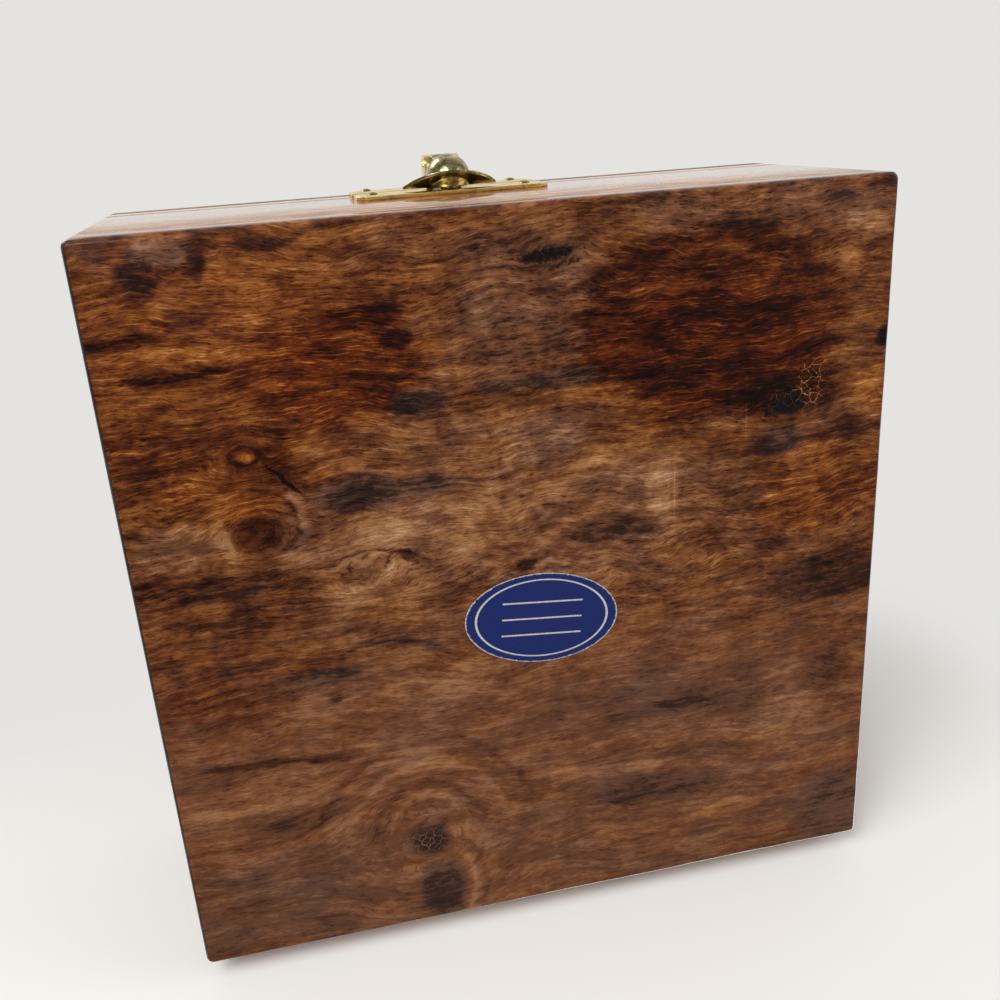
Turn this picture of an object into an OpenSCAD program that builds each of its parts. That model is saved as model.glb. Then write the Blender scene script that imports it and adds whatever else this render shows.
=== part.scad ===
// Small square keepsake box of oiled and lacquered hardwood.
// A full-size floor board, four mitred walls and a framed lid on two butt hinges,
// with a brass snap latch on the front. +Z is up, the front faces -Y, and the origin
// is the centre of the underside.

/* [Box] */
// Outer width of the box, left to right
box_w = 127; // [110:1:180]
// Outer depth of the box, front to back
box_d = 127; // [110:1:180]
// Outer height of the closed box
box_h = 51; // [48:1:80]
// Thickness of the walls and of the lid rails
wall_t = 8; // [7:0.5:12]
// Thickness of the floor board and of the lid board
board_t = 5; // [3:0.5:8]
// Height of the saw cut that parts the lid from the body
joint_z = 40; // [38:0.5:42]
// Width of the saw cut
joint_gap = 0.3; // [0.2:0.1:0.6]
// Radius of the worn upright corners
corner_r = 1.2; // [0.5:0.1:2.5]

/* [Lining] */
// Thickness of the velvet-covered card on the floor and under the lid
pad_t = 1.2; // [0.8:0.1:2]
// Thickness of the velvet-covered strips on the walls
strip_t = 1; // [0.6:0.1:1.6]
// Bare wood left above the wall strips
strip_drop = 1.5; // [0.5:0.5:6]
// Play round the cards
lining_play = 0.2; // [0.1:0.1:0.5]

/* [Label] */
// Length of the oval paper label
label_w = 26.8; // [16:0.2:40]
// Height of the oval paper label
label_h = 16.6; // [10:0.2:26]
// Thickness of the label with its paste, let in flush
label_t = 0.15; // [0.1:0.05:0.3]
// Turn of the label, seen from above
label_turn = 5.6; // [-20:0.2:20]

/* [Latch] */
// Distance of the latch left of the box's middle
latch_shift = 3; // [0:0.5:10]
// Width of both latch plates
plate_w = 34; // [30:0.5:44]
// Thickness of both latch plates
plate_t = 0.6; // [0.4:0.1:0.8]
// Height of the body plate, down from the saw cut
body_plate_h = 9.1; // [8:0.1:12]
// Height of the lid plate, up from the saw cut
lid_plate_h = 9.4; // [8:0.1:9.8]
// Distance between the nails of a plate
nail_span = 27.6; // [24:0.2:28]
// Width of the tongue's lip
lip_w = 17; // [14:0.5:19]
// How far the lip's middle stands off the wall
lip_crown = 4; // [3.6:0.1:4.4]
// How far the tongue's flat sheet stands off the wall, at its outer face
sheet_off = 1.5; // [1.4:0.05:2]
// Thickness of the tongue's sheet brass
tongue_t = 0.5; // [0.4:0.05:0.6]
// Outer radius of the tongue's dome
dome_r = 3.9; // [3.6:0.1:4.2]
// Width over the knuckle that carries the tongue
knuckle_w = 6.5; // [6:0.1:8]
// Outer radius of the knuckle
knuckle_r = 1.9; // [1.7:0.1:2]
// How far the tongue's pin stands off the wall
tongue_pin_off = 4.4; // [4.2:0.1:4.8]

/* [Hinges] */
// Length of each butt hinge
hinge_w = 22; // [16:1:32]
// Depth of a hinge leaf over the wall's edge
leaf_d = 6.5; // [5:0.5:7]
// Thickness of a hinge leaf
leaf_t = 0.9; // [0.7:0.1:1.2]
// Outer radius of the hinge barrel
barrel_r = 1.6; // [1.4:0.1:2]
// Distance of each hinge from the box's middle
hinge_x = 38; // [25:1:42]

/* [Hidden] */

$fn = 48;
wood = "saddlebrown";
brass = "goldenrod";
velvet = "darkred";

// Reach past a face in a cut, so that the cut is clean
over = 1;
// Radial play of pins, screws and nails in their holes
play = 0.05;

half_w = box_w / 2;
half_d = box_d / 2;
inner_w = box_w - 2 * wall_t;
inner_d = box_d - 2 * wall_t;
// Top of the body and underside of the lid
body_top = joint_z - joint_gap / 2;
lid_low = joint_z + joint_gap / 2;
// Underside of the lid board
lid_board_z = box_h - board_t;

// Middle of the label, seen from above
label_at = [1.3, 4.9];
// Straight sides of the label's oval
label_sides = 60;

latch_x = -latch_shift;
plate_clip = 1.4;
plate_inset = 0.25;
body_plate_top = body_top - plate_inset;
lid_plate_low = lid_low + plate_inset;
body_nail_z = 36;
lid_nail_z = 48;
nail_r = 0.4;
nail_len = 5;
nail_head_r = 1;
nail_head_h = 0.4;

// Height of the dome and of the catch stud inside it
dome_z = 36.5;
// How far the dome's middle stands off the wall
dome_off = 2.6;
stud_r = 1.5;
stud_off = 1;
stud_shank_r = 0.6;
stud_shank_len = 4;
// The ridge that runs from the dome to the knuckle
ridge_r = 3.5;
ridge_top_z = 42;
// Lowest point of the lip
lip_low_z = 31.2;
// Height at which the lip is widest
lip_wide_z = 35.6;
tongue_pin_z = 44.3;
tongue_pin_r = 0.75;
cheek_t = 1.3;
cheek_play = 0.15;
eye_w = knuckle_w - 2 * cheek_t - 2 * cheek_play;
pin_proud = 0.2;
sheet_back = sheet_off - tongue_t;
// Radius of the lip's round front edge
lip_depth = lip_wide_z - lip_low_z;
lip_r = (pow(lip_w / 2, 2) + pow(lip_depth, 2)) / (2 * lip_depth);
// How far the lip flares outwards for each millimetre down, and its thickness measured level
lip_flare = (lip_crown - sheet_off) / lip_depth;
flare_t = tongue_t * sqrt(1 + pow(lip_flare, 2));
// Radius of the hollow flanks between the lip and the ridge
flank_r = lip_w / 2 - ridge_r;

// The hinge axis runs through the saw cut, behind the back wall
axis_gap = 0.4;
axis_y = half_d + barrel_r + axis_gap;
axis_z = joint_z;
hinge_pin_r = 0.75;
mid_knuckle_w = hinge_w / 3;
knuckle_play = 0.15;
screw_span = 13;
screw_y = half_d - 3.4;
screw_r = 0.8;
screw_len = 5.5;
screw_head_r = 1.6;
slot_w = 0.35;
slot_deep = 0.35;

// Plan of the box with its worn upright corners
module rounded_plan() {
    square([box_w - 2 * corner_r, box_d], center = true);
    square([box_w, box_d - 2 * corner_r], center = true);
    for (sx = [-1, 1], sy = [-1, 1])
        translate([sx * (half_w - corner_r), sy * (half_d - corner_r)])
            circle(corner_r);
}

// One mitred side, drawn as the front one: length along X, outer face at -out
module mitred_side(length, out, z_low, z_high) {
    translate([0, 0, z_low])
        linear_extrude(z_high - z_low)
            polygon([
                [-length / 2, -out],
                [length / 2, -out],
                [length / 2 - wall_t, wall_t - out],
                [wall_t - length / 2, wall_t - out]
            ]);
}

// Keeps what lies inside the rounded plan
module worn_corners() {
    intersection() {
        children();
        linear_extrude(box_h)
            rounded_plan();
    }
}

// Stands a flat outline (x, z) off the front wall, from one distance to another
module on_front(near, far) {
    translate([latch_x, -half_d - near, 0])
        rotate([90, 0, 0])
            linear_extrude(far - near)
                children();
}

// A round bar square to the front wall, at a place on it
module front_bar(x, z, r, near, far) {
    on_front(near, far)
        translate([x, z])
            circle(r);
}

module side_strip(length, out) {
    translate([-length / 2, -out, board_t])
        cube([length, strip_t, body_top - strip_drop - board_t]);
}

module label_outline() {
    translate(label_at)
        rotate(label_turn)
            polygon([
                for (i = [0:label_sides - 1])
                    [label_w / 2 * cos(i * 360 / label_sides),
                     label_h / 2 * sin(i * 360 / label_sides)]
            ]);
}

module plate_outline(low, high) {
    polygon([
        [-plate_w / 2 + plate_clip, low],
        [plate_w / 2 - plate_clip, low],
        [plate_w / 2, low + plate_clip],
        [plate_w / 2, high - plate_clip],
        [plate_w / 2 - plate_clip, high],
        [-plate_w / 2 + plate_clip, high],
        [-plate_w / 2, high - plate_clip],
        [-plate_w / 2, low + plate_clip]
    ]);
}

// Holes for the two nails of a latch plate
module nail_holes(z) {
    for (side = [-1, 1])
        front_bar(side * nail_span / 2, z, nail_r + play, -nail_len - play, plate_t + over);
}

// Two round-headed nails through a latch plate
module nails(z) {
    head_curve = (pow(nail_head_r, 2) + pow(nail_head_h, 2)) / (2 * nail_head_h);
    for (side = [-1, 1]) {
        front_bar(side * nail_span / 2, z, nail_r, -nail_len, plate_t);
        intersection() {
            front_bar(side * nail_span / 2, z, nail_head_r, plate_t, plate_t + over);
            translate([
                latch_x + side * nail_span / 2,
                -half_d - plate_t - nail_head_h + head_curve,
                z
            ])
                sphere(head_curve);
        }
    }
}

// Hole for the catch stud's shank
module stud_hole() {
    front_bar(0, dome_z, stud_shank_r + play, -stud_shank_len - play, plate_t + over);
}

// Sinking for a hinge leaf, from a level up or down
module leaf_recess(z_low) {
    for (side = [-1, 1])
        translate([
            side * hinge_x - hinge_w / 2 - play,
            half_d - leaf_d - play,
            z_low
        ])
            cube([hinge_w + 2 * play, leaf_d + over, leaf_t + joint_gap]);
}

// One countersunk screw at a place, with its head flush at z = 0 and its point down
module screw_body(grow) {
    translate([0, 0, -leaf_t])
        cylinder(h = leaf_t, r1 = screw_r + grow, r2 = screw_head_r + grow);
    translate([0, 0, -screw_len - grow])
        cylinder(h = screw_len + grow, r = screw_r + grow);
}

// Puts a screw pair at one hinge, pointing down in the body or up in the lid
module at_screws(side, up) {
    for (end = [-1, 1])
        translate([
            side * hinge_x + end * screw_span / 2,
            screw_y,
            up ? lid_low : body_top
        ])
            mirror([0, 0, up ? 1 : 0])
                children();
}

module hinge_screws(side, up) {
    color(brass)
        at_screws(side, up)
            difference() {
                screw_body(0);
                translate([0, 0, over / 2 - slot_deep])
                    cube([2 * screw_head_r + over, slot_w, over], center = true);
            }
}

// A length of hinge barrel along X
module barrel(x_low, x_high, r) {
    translate([x_low, axis_y, axis_z])
        rotate([0, 90, 0])
            cylinder(h = x_high - x_low, r = r);
}

// A stretch of leaf with its knuckle, in one piece
module knuckle(x_low, x_high, z_low) {
    barrel(x_low, x_high, barrel_r);
    translate([x_low, half_d - over, z_low])
        cube([x_high - x_low, axis_y - half_d + over, leaf_t]);
}

module hinge_leaf(side, up) {
    x_mid = side * hinge_x;
    z_low = up ? lid_low : body_top - leaf_t;
    color(brass)
        difference() {
            union() {
                translate([x_mid - hinge_w / 2, half_d - leaf_d, z_low])
                    cube([hinge_w, leaf_d, leaf_t]);
                if (up)
                    knuckle(
                        x_mid - mid_knuckle_w / 2 + knuckle_play,
                        x_mid + mid_knuckle_w / 2 - knuckle_play,
                        z_low
                    );
                else {
                    knuckle(x_mid - hinge_w / 2, x_mid - mid_knuckle_w / 2, z_low);
                    knuckle(x_mid + mid_knuckle_w / 2, x_mid + hinge_w / 2, z_low);
                }
            }
            barrel(x_mid - hinge_w, x_mid + hinge_w, hinge_pin_r + play);
            at_screws(side, up)
                union() {
                    screw_body(play);
                    cylinder(h = over, r = screw_head_r + play);
                }
        }
}

module hinge_pin(side) {
    color(brass)
        barrel(side * hinge_x - hinge_w / 2, side * hinge_x + hinge_w / 2, hinge_pin_r);
}

module floor_board() {
    color(wood)
        difference() {
            linear_extrude(board_t)
                rounded_plan();
            translate([0, 0, -over])
                linear_extrude(label_t + over)
                    label_outline();
        }
}

module front_wall() {
    color(wood)
        difference() {
            worn_corners()
                mitred_side(box_w, half_d, board_t, body_top);
            nail_holes(body_nail_z);
            stud_hole();
        }
}

module back_wall() {
    color(wood)
        difference() {
            worn_corners()
                rotate(180)
                    mitred_side(box_w, half_d, board_t, body_top);
            leaf_recess(body_top - leaf_t);
            for (side = [-1, 1])
                at_screws(side, false)
                    screw_body(play);
        }
}

module left_wall() {
    color(wood)
        worn_corners()
            rotate(-90)
                mitred_side(box_d, half_w, board_t, body_top);
}

module right_wall() {
    color(wood)
        worn_corners()
            rotate(90)
                mitred_side(box_d, half_w, board_t, body_top);
}

module floor_lining() {
    w = inner_w - 2 * strip_t - 2 * lining_play;
    d = inner_d - 2 * strip_t - 2 * lining_play;
    color(velvet)
        translate([-w / 2, -d / 2, board_t])
            cube([w, d, pad_t]);
}

module front_lining() {
    color(velvet)
        side_strip(inner_w, inner_d / 2);
}

module back_lining() {
    color(velvet)
        rotate(180)
            side_strip(inner_w, inner_d / 2);
}

module left_lining() {
    color(velvet)
        rotate(-90)
            side_strip(inner_d - 2 * strip_t, inner_w / 2);
}

module right_lining() {
    color(velvet)
        rotate(90)
            side_strip(inner_d - 2 * strip_t, inner_w / 2);
}

module underside_label() {
    color("mediumblue")
        linear_extrude(label_t)
            label_outline();
}

module latch_body_plate() {
    color(brass)
        difference() {
            on_front(0, plate_t)
                plate_outline(body_plate_top - body_plate_h, body_plate_top);
            nail_holes(body_nail_z);
            stud_hole();
        }
}

module latch_catch_stud() {
    color(brass) {
        front_bar(0, dome_z, stud_shank_r, -stud_shank_len, plate_t);
        intersection() {
            translate([latch_x, -half_d - stud_off, dome_z])
                sphere(stud_r);
            front_bar(0, dome_z, stud_r + over, plate_t, stud_off + stud_r + over);
        }
    }
}

module latch_body_nails() {
    color(brass)
        nails(body_nail_z);
}

module left_hinge_body_leaf() hinge_leaf(-1, false);

module right_hinge_body_leaf() hinge_leaf(1, false);

module left_hinge_body_screws() hinge_screws(-1, false);

module right_hinge_body_screws() hinge_screws(1, false);

module left_hinge_pin() hinge_pin(-1);

module right_hinge_pin() hinge_pin(1);

module lid_board() {
    color(wood)
        difference() {
            translate([0, 0, lid_board_z])
                linear_extrude(board_t)
                    rounded_plan();
            nail_holes(lid_nail_z);
        }
}

module lid_front_rail() {
    color(wood)
        worn_corners()
            mitred_side(box_w, half_d, lid_low, lid_board_z);
}

module lid_back_rail() {
    color(wood)
        difference() {
            worn_corners()
                rotate(180)
                    mitred_side(box_w, half_d, lid_low, lid_board_z);
            leaf_recess(lid_low - joint_gap);
            for (side = [-1, 1])
                at_screws(side, true)
                    screw_body(play);
        }
}

module lid_left_rail() {
    color(wood)
        worn_corners()
            rotate(-90)
                mitred_side(box_d, half_w, lid_low, lid_board_z);
}

module lid_right_rail() {
    color(wood)
        worn_corners()
            rotate(90)
                mitred_side(box_d, half_w, lid_low, lid_board_z);
}

module lid_lining() {
    w = inner_w - 2 * lining_play;
    d = inner_d - 2 * lining_play;
    color(velvet)
        translate([-w / 2, -d / 2, lid_board_z - pad_t])
            cube([w, d, pad_t]);
}

module latch_lid_plate() {
    cheek_out = knuckle_w / 2;
    color(brass)
        difference() {
            union() {
                on_front(0, plate_t)
                    plate_outline(lid_plate_low, lid_plate_low + lid_plate_h);
                for (side = [-1, 1])
                    translate([
                        latch_x + side * (cheek_out - cheek_t / 2),
                        -half_d,
                        tongue_pin_z
                    ]) {
                        translate([-cheek_t / 2, -tongue_pin_off, -knuckle_r])
                            cube([cheek_t, tongue_pin_off, 2 * knuckle_r]);
                        translate([0, -tongue_pin_off, 0])
                            rotate([0, 90, 0])
                                cylinder(h = cheek_t, r = knuckle_r, center = true);
                    }
            }
            nail_holes(lid_nail_z);
            tongue_axis_bar(knuckle_w + over, tongue_pin_r + play);
        }
}

// A round bar on the tongue's axis
module tongue_axis_bar(length, r) {
    translate([latch_x, -half_d - tongue_pin_off, tongue_pin_z])
        rotate([0, 90, 0])
            cylinder(h = length, r = r, center = true);
}

module latch_lid_nails() {
    color(brass)
        nails(lid_nail_z);
}

module latch_hinge_pin() {
    color(brass)
        tongue_axis_bar(knuckle_w + 2 * pin_proud, tongue_pin_r);
}

module left_hinge_lid_leaf() hinge_leaf(-1, true);

module right_hinge_lid_leaf() hinge_leaf(1, true);

module left_hinge_lid_screws() hinge_screws(-1, true);

module right_hinge_lid_screws() hinge_screws(1, true);

// Flat outline of the tongue's sheet: a round lip with hollow flanks up to the ridge
module tongue_outline() {
    intersection() {
        translate([0, lip_low_z + lip_r])
            circle(lip_r);
        translate([-lip_w / 2, lip_low_z])
            square([lip_w, lip_depth]);
    }
    difference() {
        translate([-lip_w / 2, lip_wide_z])
            square([lip_w, ridge_top_z - lip_wide_z]);
        for (side = [-1, 1])
            translate([side * lip_w / 2, lip_wide_z + flank_r])
                circle(flank_r);
        for (side = [-1, 1])
            translate([side * (ridge_r + lip_w / 2) - lip_w / 2, lip_wide_z + flank_r])
                square([lip_w, ridge_top_z]);
    }
}

// A round bar up the front, behind the tongue's ridge
module ridge_bar(r, z_low, z_high) {
    translate([latch_x, -half_d - dome_off, z_low])
        cylinder(h = z_high - z_low, r = r);
}

// The tongue's sheet from the side (off the wall, height): flat, then flared out into the lip
module sheet_side() {
    bend_z = lip_wide_z - (flare_t - tongue_t) / lip_flare;
    polygon([
        [sheet_back, ridge_top_z],
        [sheet_off, ridge_top_z],
        [sheet_off, lip_wide_z],
        [lip_crown, lip_low_z],
        [lip_crown - flare_t, lip_low_z],
        [sheet_back, bend_z]
    ]);
}

module tongue_sheet() {
    intersection() {
        on_front(0, lip_crown + over)
            tongue_outline();
        translate([latch_x - lip_w, -half_d, 0])
            rotate([90, 0, 90])
                linear_extrude(2 * lip_w)
                    mirror([1, 0])
                        sheet_side();
    }
}

// The dome and the ridge behind it, before they are hollowed
module tongue_boss() {
    intersection() {
        union() {
            translate([latch_x, -half_d - dome_off, dome_z])
                sphere(dome_r);
            ridge_bar(ridge_r, dome_z, ridge_top_z);
        }
        on_front(sheet_back, dome_off + dome_r + over)
            translate([-dome_r - over, dome_z - dome_r - over])
                square([2 * (dome_r + over), ridge_top_z - dome_z + dome_r + over]);
    }
}

module latch_tongue() {
    neck_out = dome_off + ridge_r - tongue_t / 2;
    color(brass)
        difference() {
            union() {
                tongue_sheet();
                tongue_boss();
                tongue_axis_bar(eye_w, knuckle_r);
                on_front(sheet_back, neck_out)
                    translate([-eye_w / 2, ridge_top_z - tongue_t])
                        square([eye_w, tongue_pin_z - ridge_top_z + tongue_t]);
            }
            translate([latch_x, -half_d - dome_off, dome_z])
                sphere(dome_r - tongue_t);
            ridge_bar(ridge_r - tongue_t, dome_z, ridge_top_z - tongue_t);
            tongue_axis_bar(eye_w + over, tongue_pin_r + play);
        }
}

floor_board();
front_wall();
back_wall();
left_wall();
right_wall();
floor_lining();
front_lining();
back_lining();
left_lining();
right_lining();
underside_label();
latch_body_plate();
latch_catch_stud();
latch_body_nails();
left_hinge_body_leaf();
right_hinge_body_leaf();
left_hinge_body_screws();
right_hinge_body_screws();
left_hinge_pin();
right_hinge_pin();
lid_board();
lid_front_rail();
lid_back_rail();
lid_left_rail();
lid_right_rail();
lid_lining();
latch_lid_plate();
latch_lid_nails();
latch_hinge_pin();
left_hinge_lid_leaf();
right_hinge_lid_leaf();
left_hinge_lid_screws();
right_hinge_lid_screws();
latch_tongue();
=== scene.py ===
"""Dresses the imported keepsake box: figured rosewood boards, brass latch and hinges, velvet linings."""
import logging
import math
from collections.abc import Callable, Iterable
from dataclasses import dataclass, field
from enum import Enum

import bmesh
import bpy
from mathutils import Matrix, Vector


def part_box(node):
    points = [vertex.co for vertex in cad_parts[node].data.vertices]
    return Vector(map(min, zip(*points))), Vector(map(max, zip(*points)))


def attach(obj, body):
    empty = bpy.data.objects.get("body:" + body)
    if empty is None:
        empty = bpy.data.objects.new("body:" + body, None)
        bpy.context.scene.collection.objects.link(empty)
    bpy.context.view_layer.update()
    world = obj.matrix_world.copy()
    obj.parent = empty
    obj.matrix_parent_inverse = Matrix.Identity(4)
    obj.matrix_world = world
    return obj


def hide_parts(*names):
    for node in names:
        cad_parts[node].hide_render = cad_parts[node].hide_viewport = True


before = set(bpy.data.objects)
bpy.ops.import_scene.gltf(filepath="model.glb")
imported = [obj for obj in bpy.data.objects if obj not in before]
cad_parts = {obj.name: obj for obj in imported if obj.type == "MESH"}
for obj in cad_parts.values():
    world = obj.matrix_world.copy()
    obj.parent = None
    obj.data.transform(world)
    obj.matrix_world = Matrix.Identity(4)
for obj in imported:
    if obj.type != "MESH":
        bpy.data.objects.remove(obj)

LOG = logging.getLogger("keepsake_box")
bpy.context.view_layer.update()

MM = 0.001
# Half the width of the box, from its middle to the outer face of a wall
HALF_MM = 63.5
# Two places nearer than this count as the same
NEAR_MM = 0.01
# The pasted label: its middle, its half sizes, its turn and how far it stands proud
LABEL_MIDDLE_MM = (1.3, 4.9)
LABEL_HALF_MM = (13.4, 8.3)
LABEL_TURN_DEG = 5.6
LABEL_PROUD_MM = 0.08

Point = tuple[float, float, float]
Flat = tuple[float, float]
EdgeTest = Callable[[Vector, Vector], bool]


def linear(colour: str) -> tuple[float, float, float, float]:
    """Turns an sRGB hex colour into linear light.

    Args:
        colour: The colour as "#rrggbb".

    Returns:
        Red, green, blue and an alpha of 1.
    """
    parts = [int(colour[i:i + 2], 16) / 255 for i in (1, 3, 5)]
    light = [p / 12.92 if p <= 0.04045 else ((p + 0.055) / 1.055) ** 2.4 for p in parts]
    return (light[0], light[1], light[2], 1.0)


class Body(Enum):
    """The moving bodies that a piece can ride on."""

    BODY = "body"
    LID = "lid"
    TONGUE = "tongue"


class Grain(Enum):
    """How a board's grain lies: which object axes run along, across and into it."""

    ACROSS_DEPTH = ("X", "Y", "Z")
    ALONG_FRONT = ("X", "Z", "Y")
    ALONG_SIDE = ("Y", "Z", "X")


class Edge(Enum):
    """How far the edge of a patch frays: its full range in millimetres along and across."""

    RAGGED = (17.0, 9.0)
    LOOSE = (5.0, 4.0)
    FINE = (1.8, 1.2)
    CLEAN = (0.0, 0.0)


class Graph:
    """The node tree of a material or of the world, built one node at a time."""

    def __init__(self, owner: bpy.types.Material | bpy.types.World) -> None:
        """Empties the node tree of a new material or world.

        Args:
            owner: The material or world.
        """
        owner.use_nodes = True
        self.owner = owner
        self.tree = owner.node_tree
        self.tree.nodes.clear()

    def add(self, kind: str, *values: object, out: int | str = 0,
            sockets: dict[str, object] | None = None, **settings: object) -> bpy.types.NodeSocket:
        """Adds a node with its settings and links.

        Args:
            kind: The node's type.
            *values: Links or numbers for its first inputs, in order; None leaves one alone.
            out: The output to hand back, by place or by name.
            sockets: Links or numbers for named inputs.
            **settings: Properties of the node.

        Returns:
            The output socket asked for.
        """
        node = self.tree.nodes.new(kind)
        for key, value in settings.items():
            setattr(node, key, value)
        given = [(i, v) for i, v in enumerate(values) if v is not None]
        given += list((sockets or {}).items())
        for key, value in given:
            if isinstance(value, bpy.types.NodeSocket):
                self.tree.links.new(value, node.inputs[key])
            else:
                node.inputs[key].default_value = value
        return node.outputs[out] if node.outputs else None

    def millimetres(self) -> bpy.types.NodeSocket:
        """Gives the object's own coordinates in millimetres.

        Returns:
            The coordinates.
        """
        place = self.add("ShaderNodeTexCoord", out="Object")
        return self.add("ShaderNodeVectorMath", place, operation="SCALE", sockets={"Scale": 1 / MM})

    def ramp(self, value: bpy.types.NodeSocket, stops: list[tuple[float, str]]) -> bpy.types.NodeSocket:
        """Turns a value into a colour along a list of stops.

        Args:
            value: The value to look up.
            stops: Place and sRGB hex colour of each stop.

        Returns:
            The colour output.
        """
        colour = self.add("ShaderNodeValToRGB", value)
        ramp = colour.node.color_ramp
        ramp.interpolation = "EASE"
        ramp.elements[0].position, ramp.elements[0].color = stops[0][0], linear(stops[0][1])
        ramp.elements[1].position, ramp.elements[1].color = stops[-1][0], linear(stops[-1][1])
        for place, shade in stops[1:-1]:
            ramp.elements.new(place).color = linear(shade)
        return colour


@dataclass(frozen=True)
class Patch:
    """An oval region of a board where the wood is darker, paler, redder or greyer.

    Places and sizes are in millimetres along and across the board.
    """

    at: Flat
    half: Flat
    tone: float
    red: float = 0.0
    grey: float = 0.0
    turn: float = 0.0
    soft: float = 0.45
    edge: Edge = Edge.LOOSE


@dataclass(frozen=True)
class Arc:
    """A curved line of paler or darker wood, which runs round an oval or one side of it."""

    at: Flat
    half: Flat
    tone: float
    faces: float | None = None
    wide: float = 0.1
    grey: float = 0.0
    turn: float = 0.0
    edge: Edge = Edge.LOOSE


@dataclass(frozen=True)
class Knot:
    """A knot that the grain flows round, with a darker heart."""

    at: Flat
    reach: Flat
    push: float
    core: Flat
    dark: float
    ring_mm: float = 1.6


@dataclass(frozen=True)
class Crackle:
    """A region of fine pale cracks in the lacquer round a knot."""

    at: Flat
    half: Flat
    cell_mm: float = 2.2
    wide: float = 0.05


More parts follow.
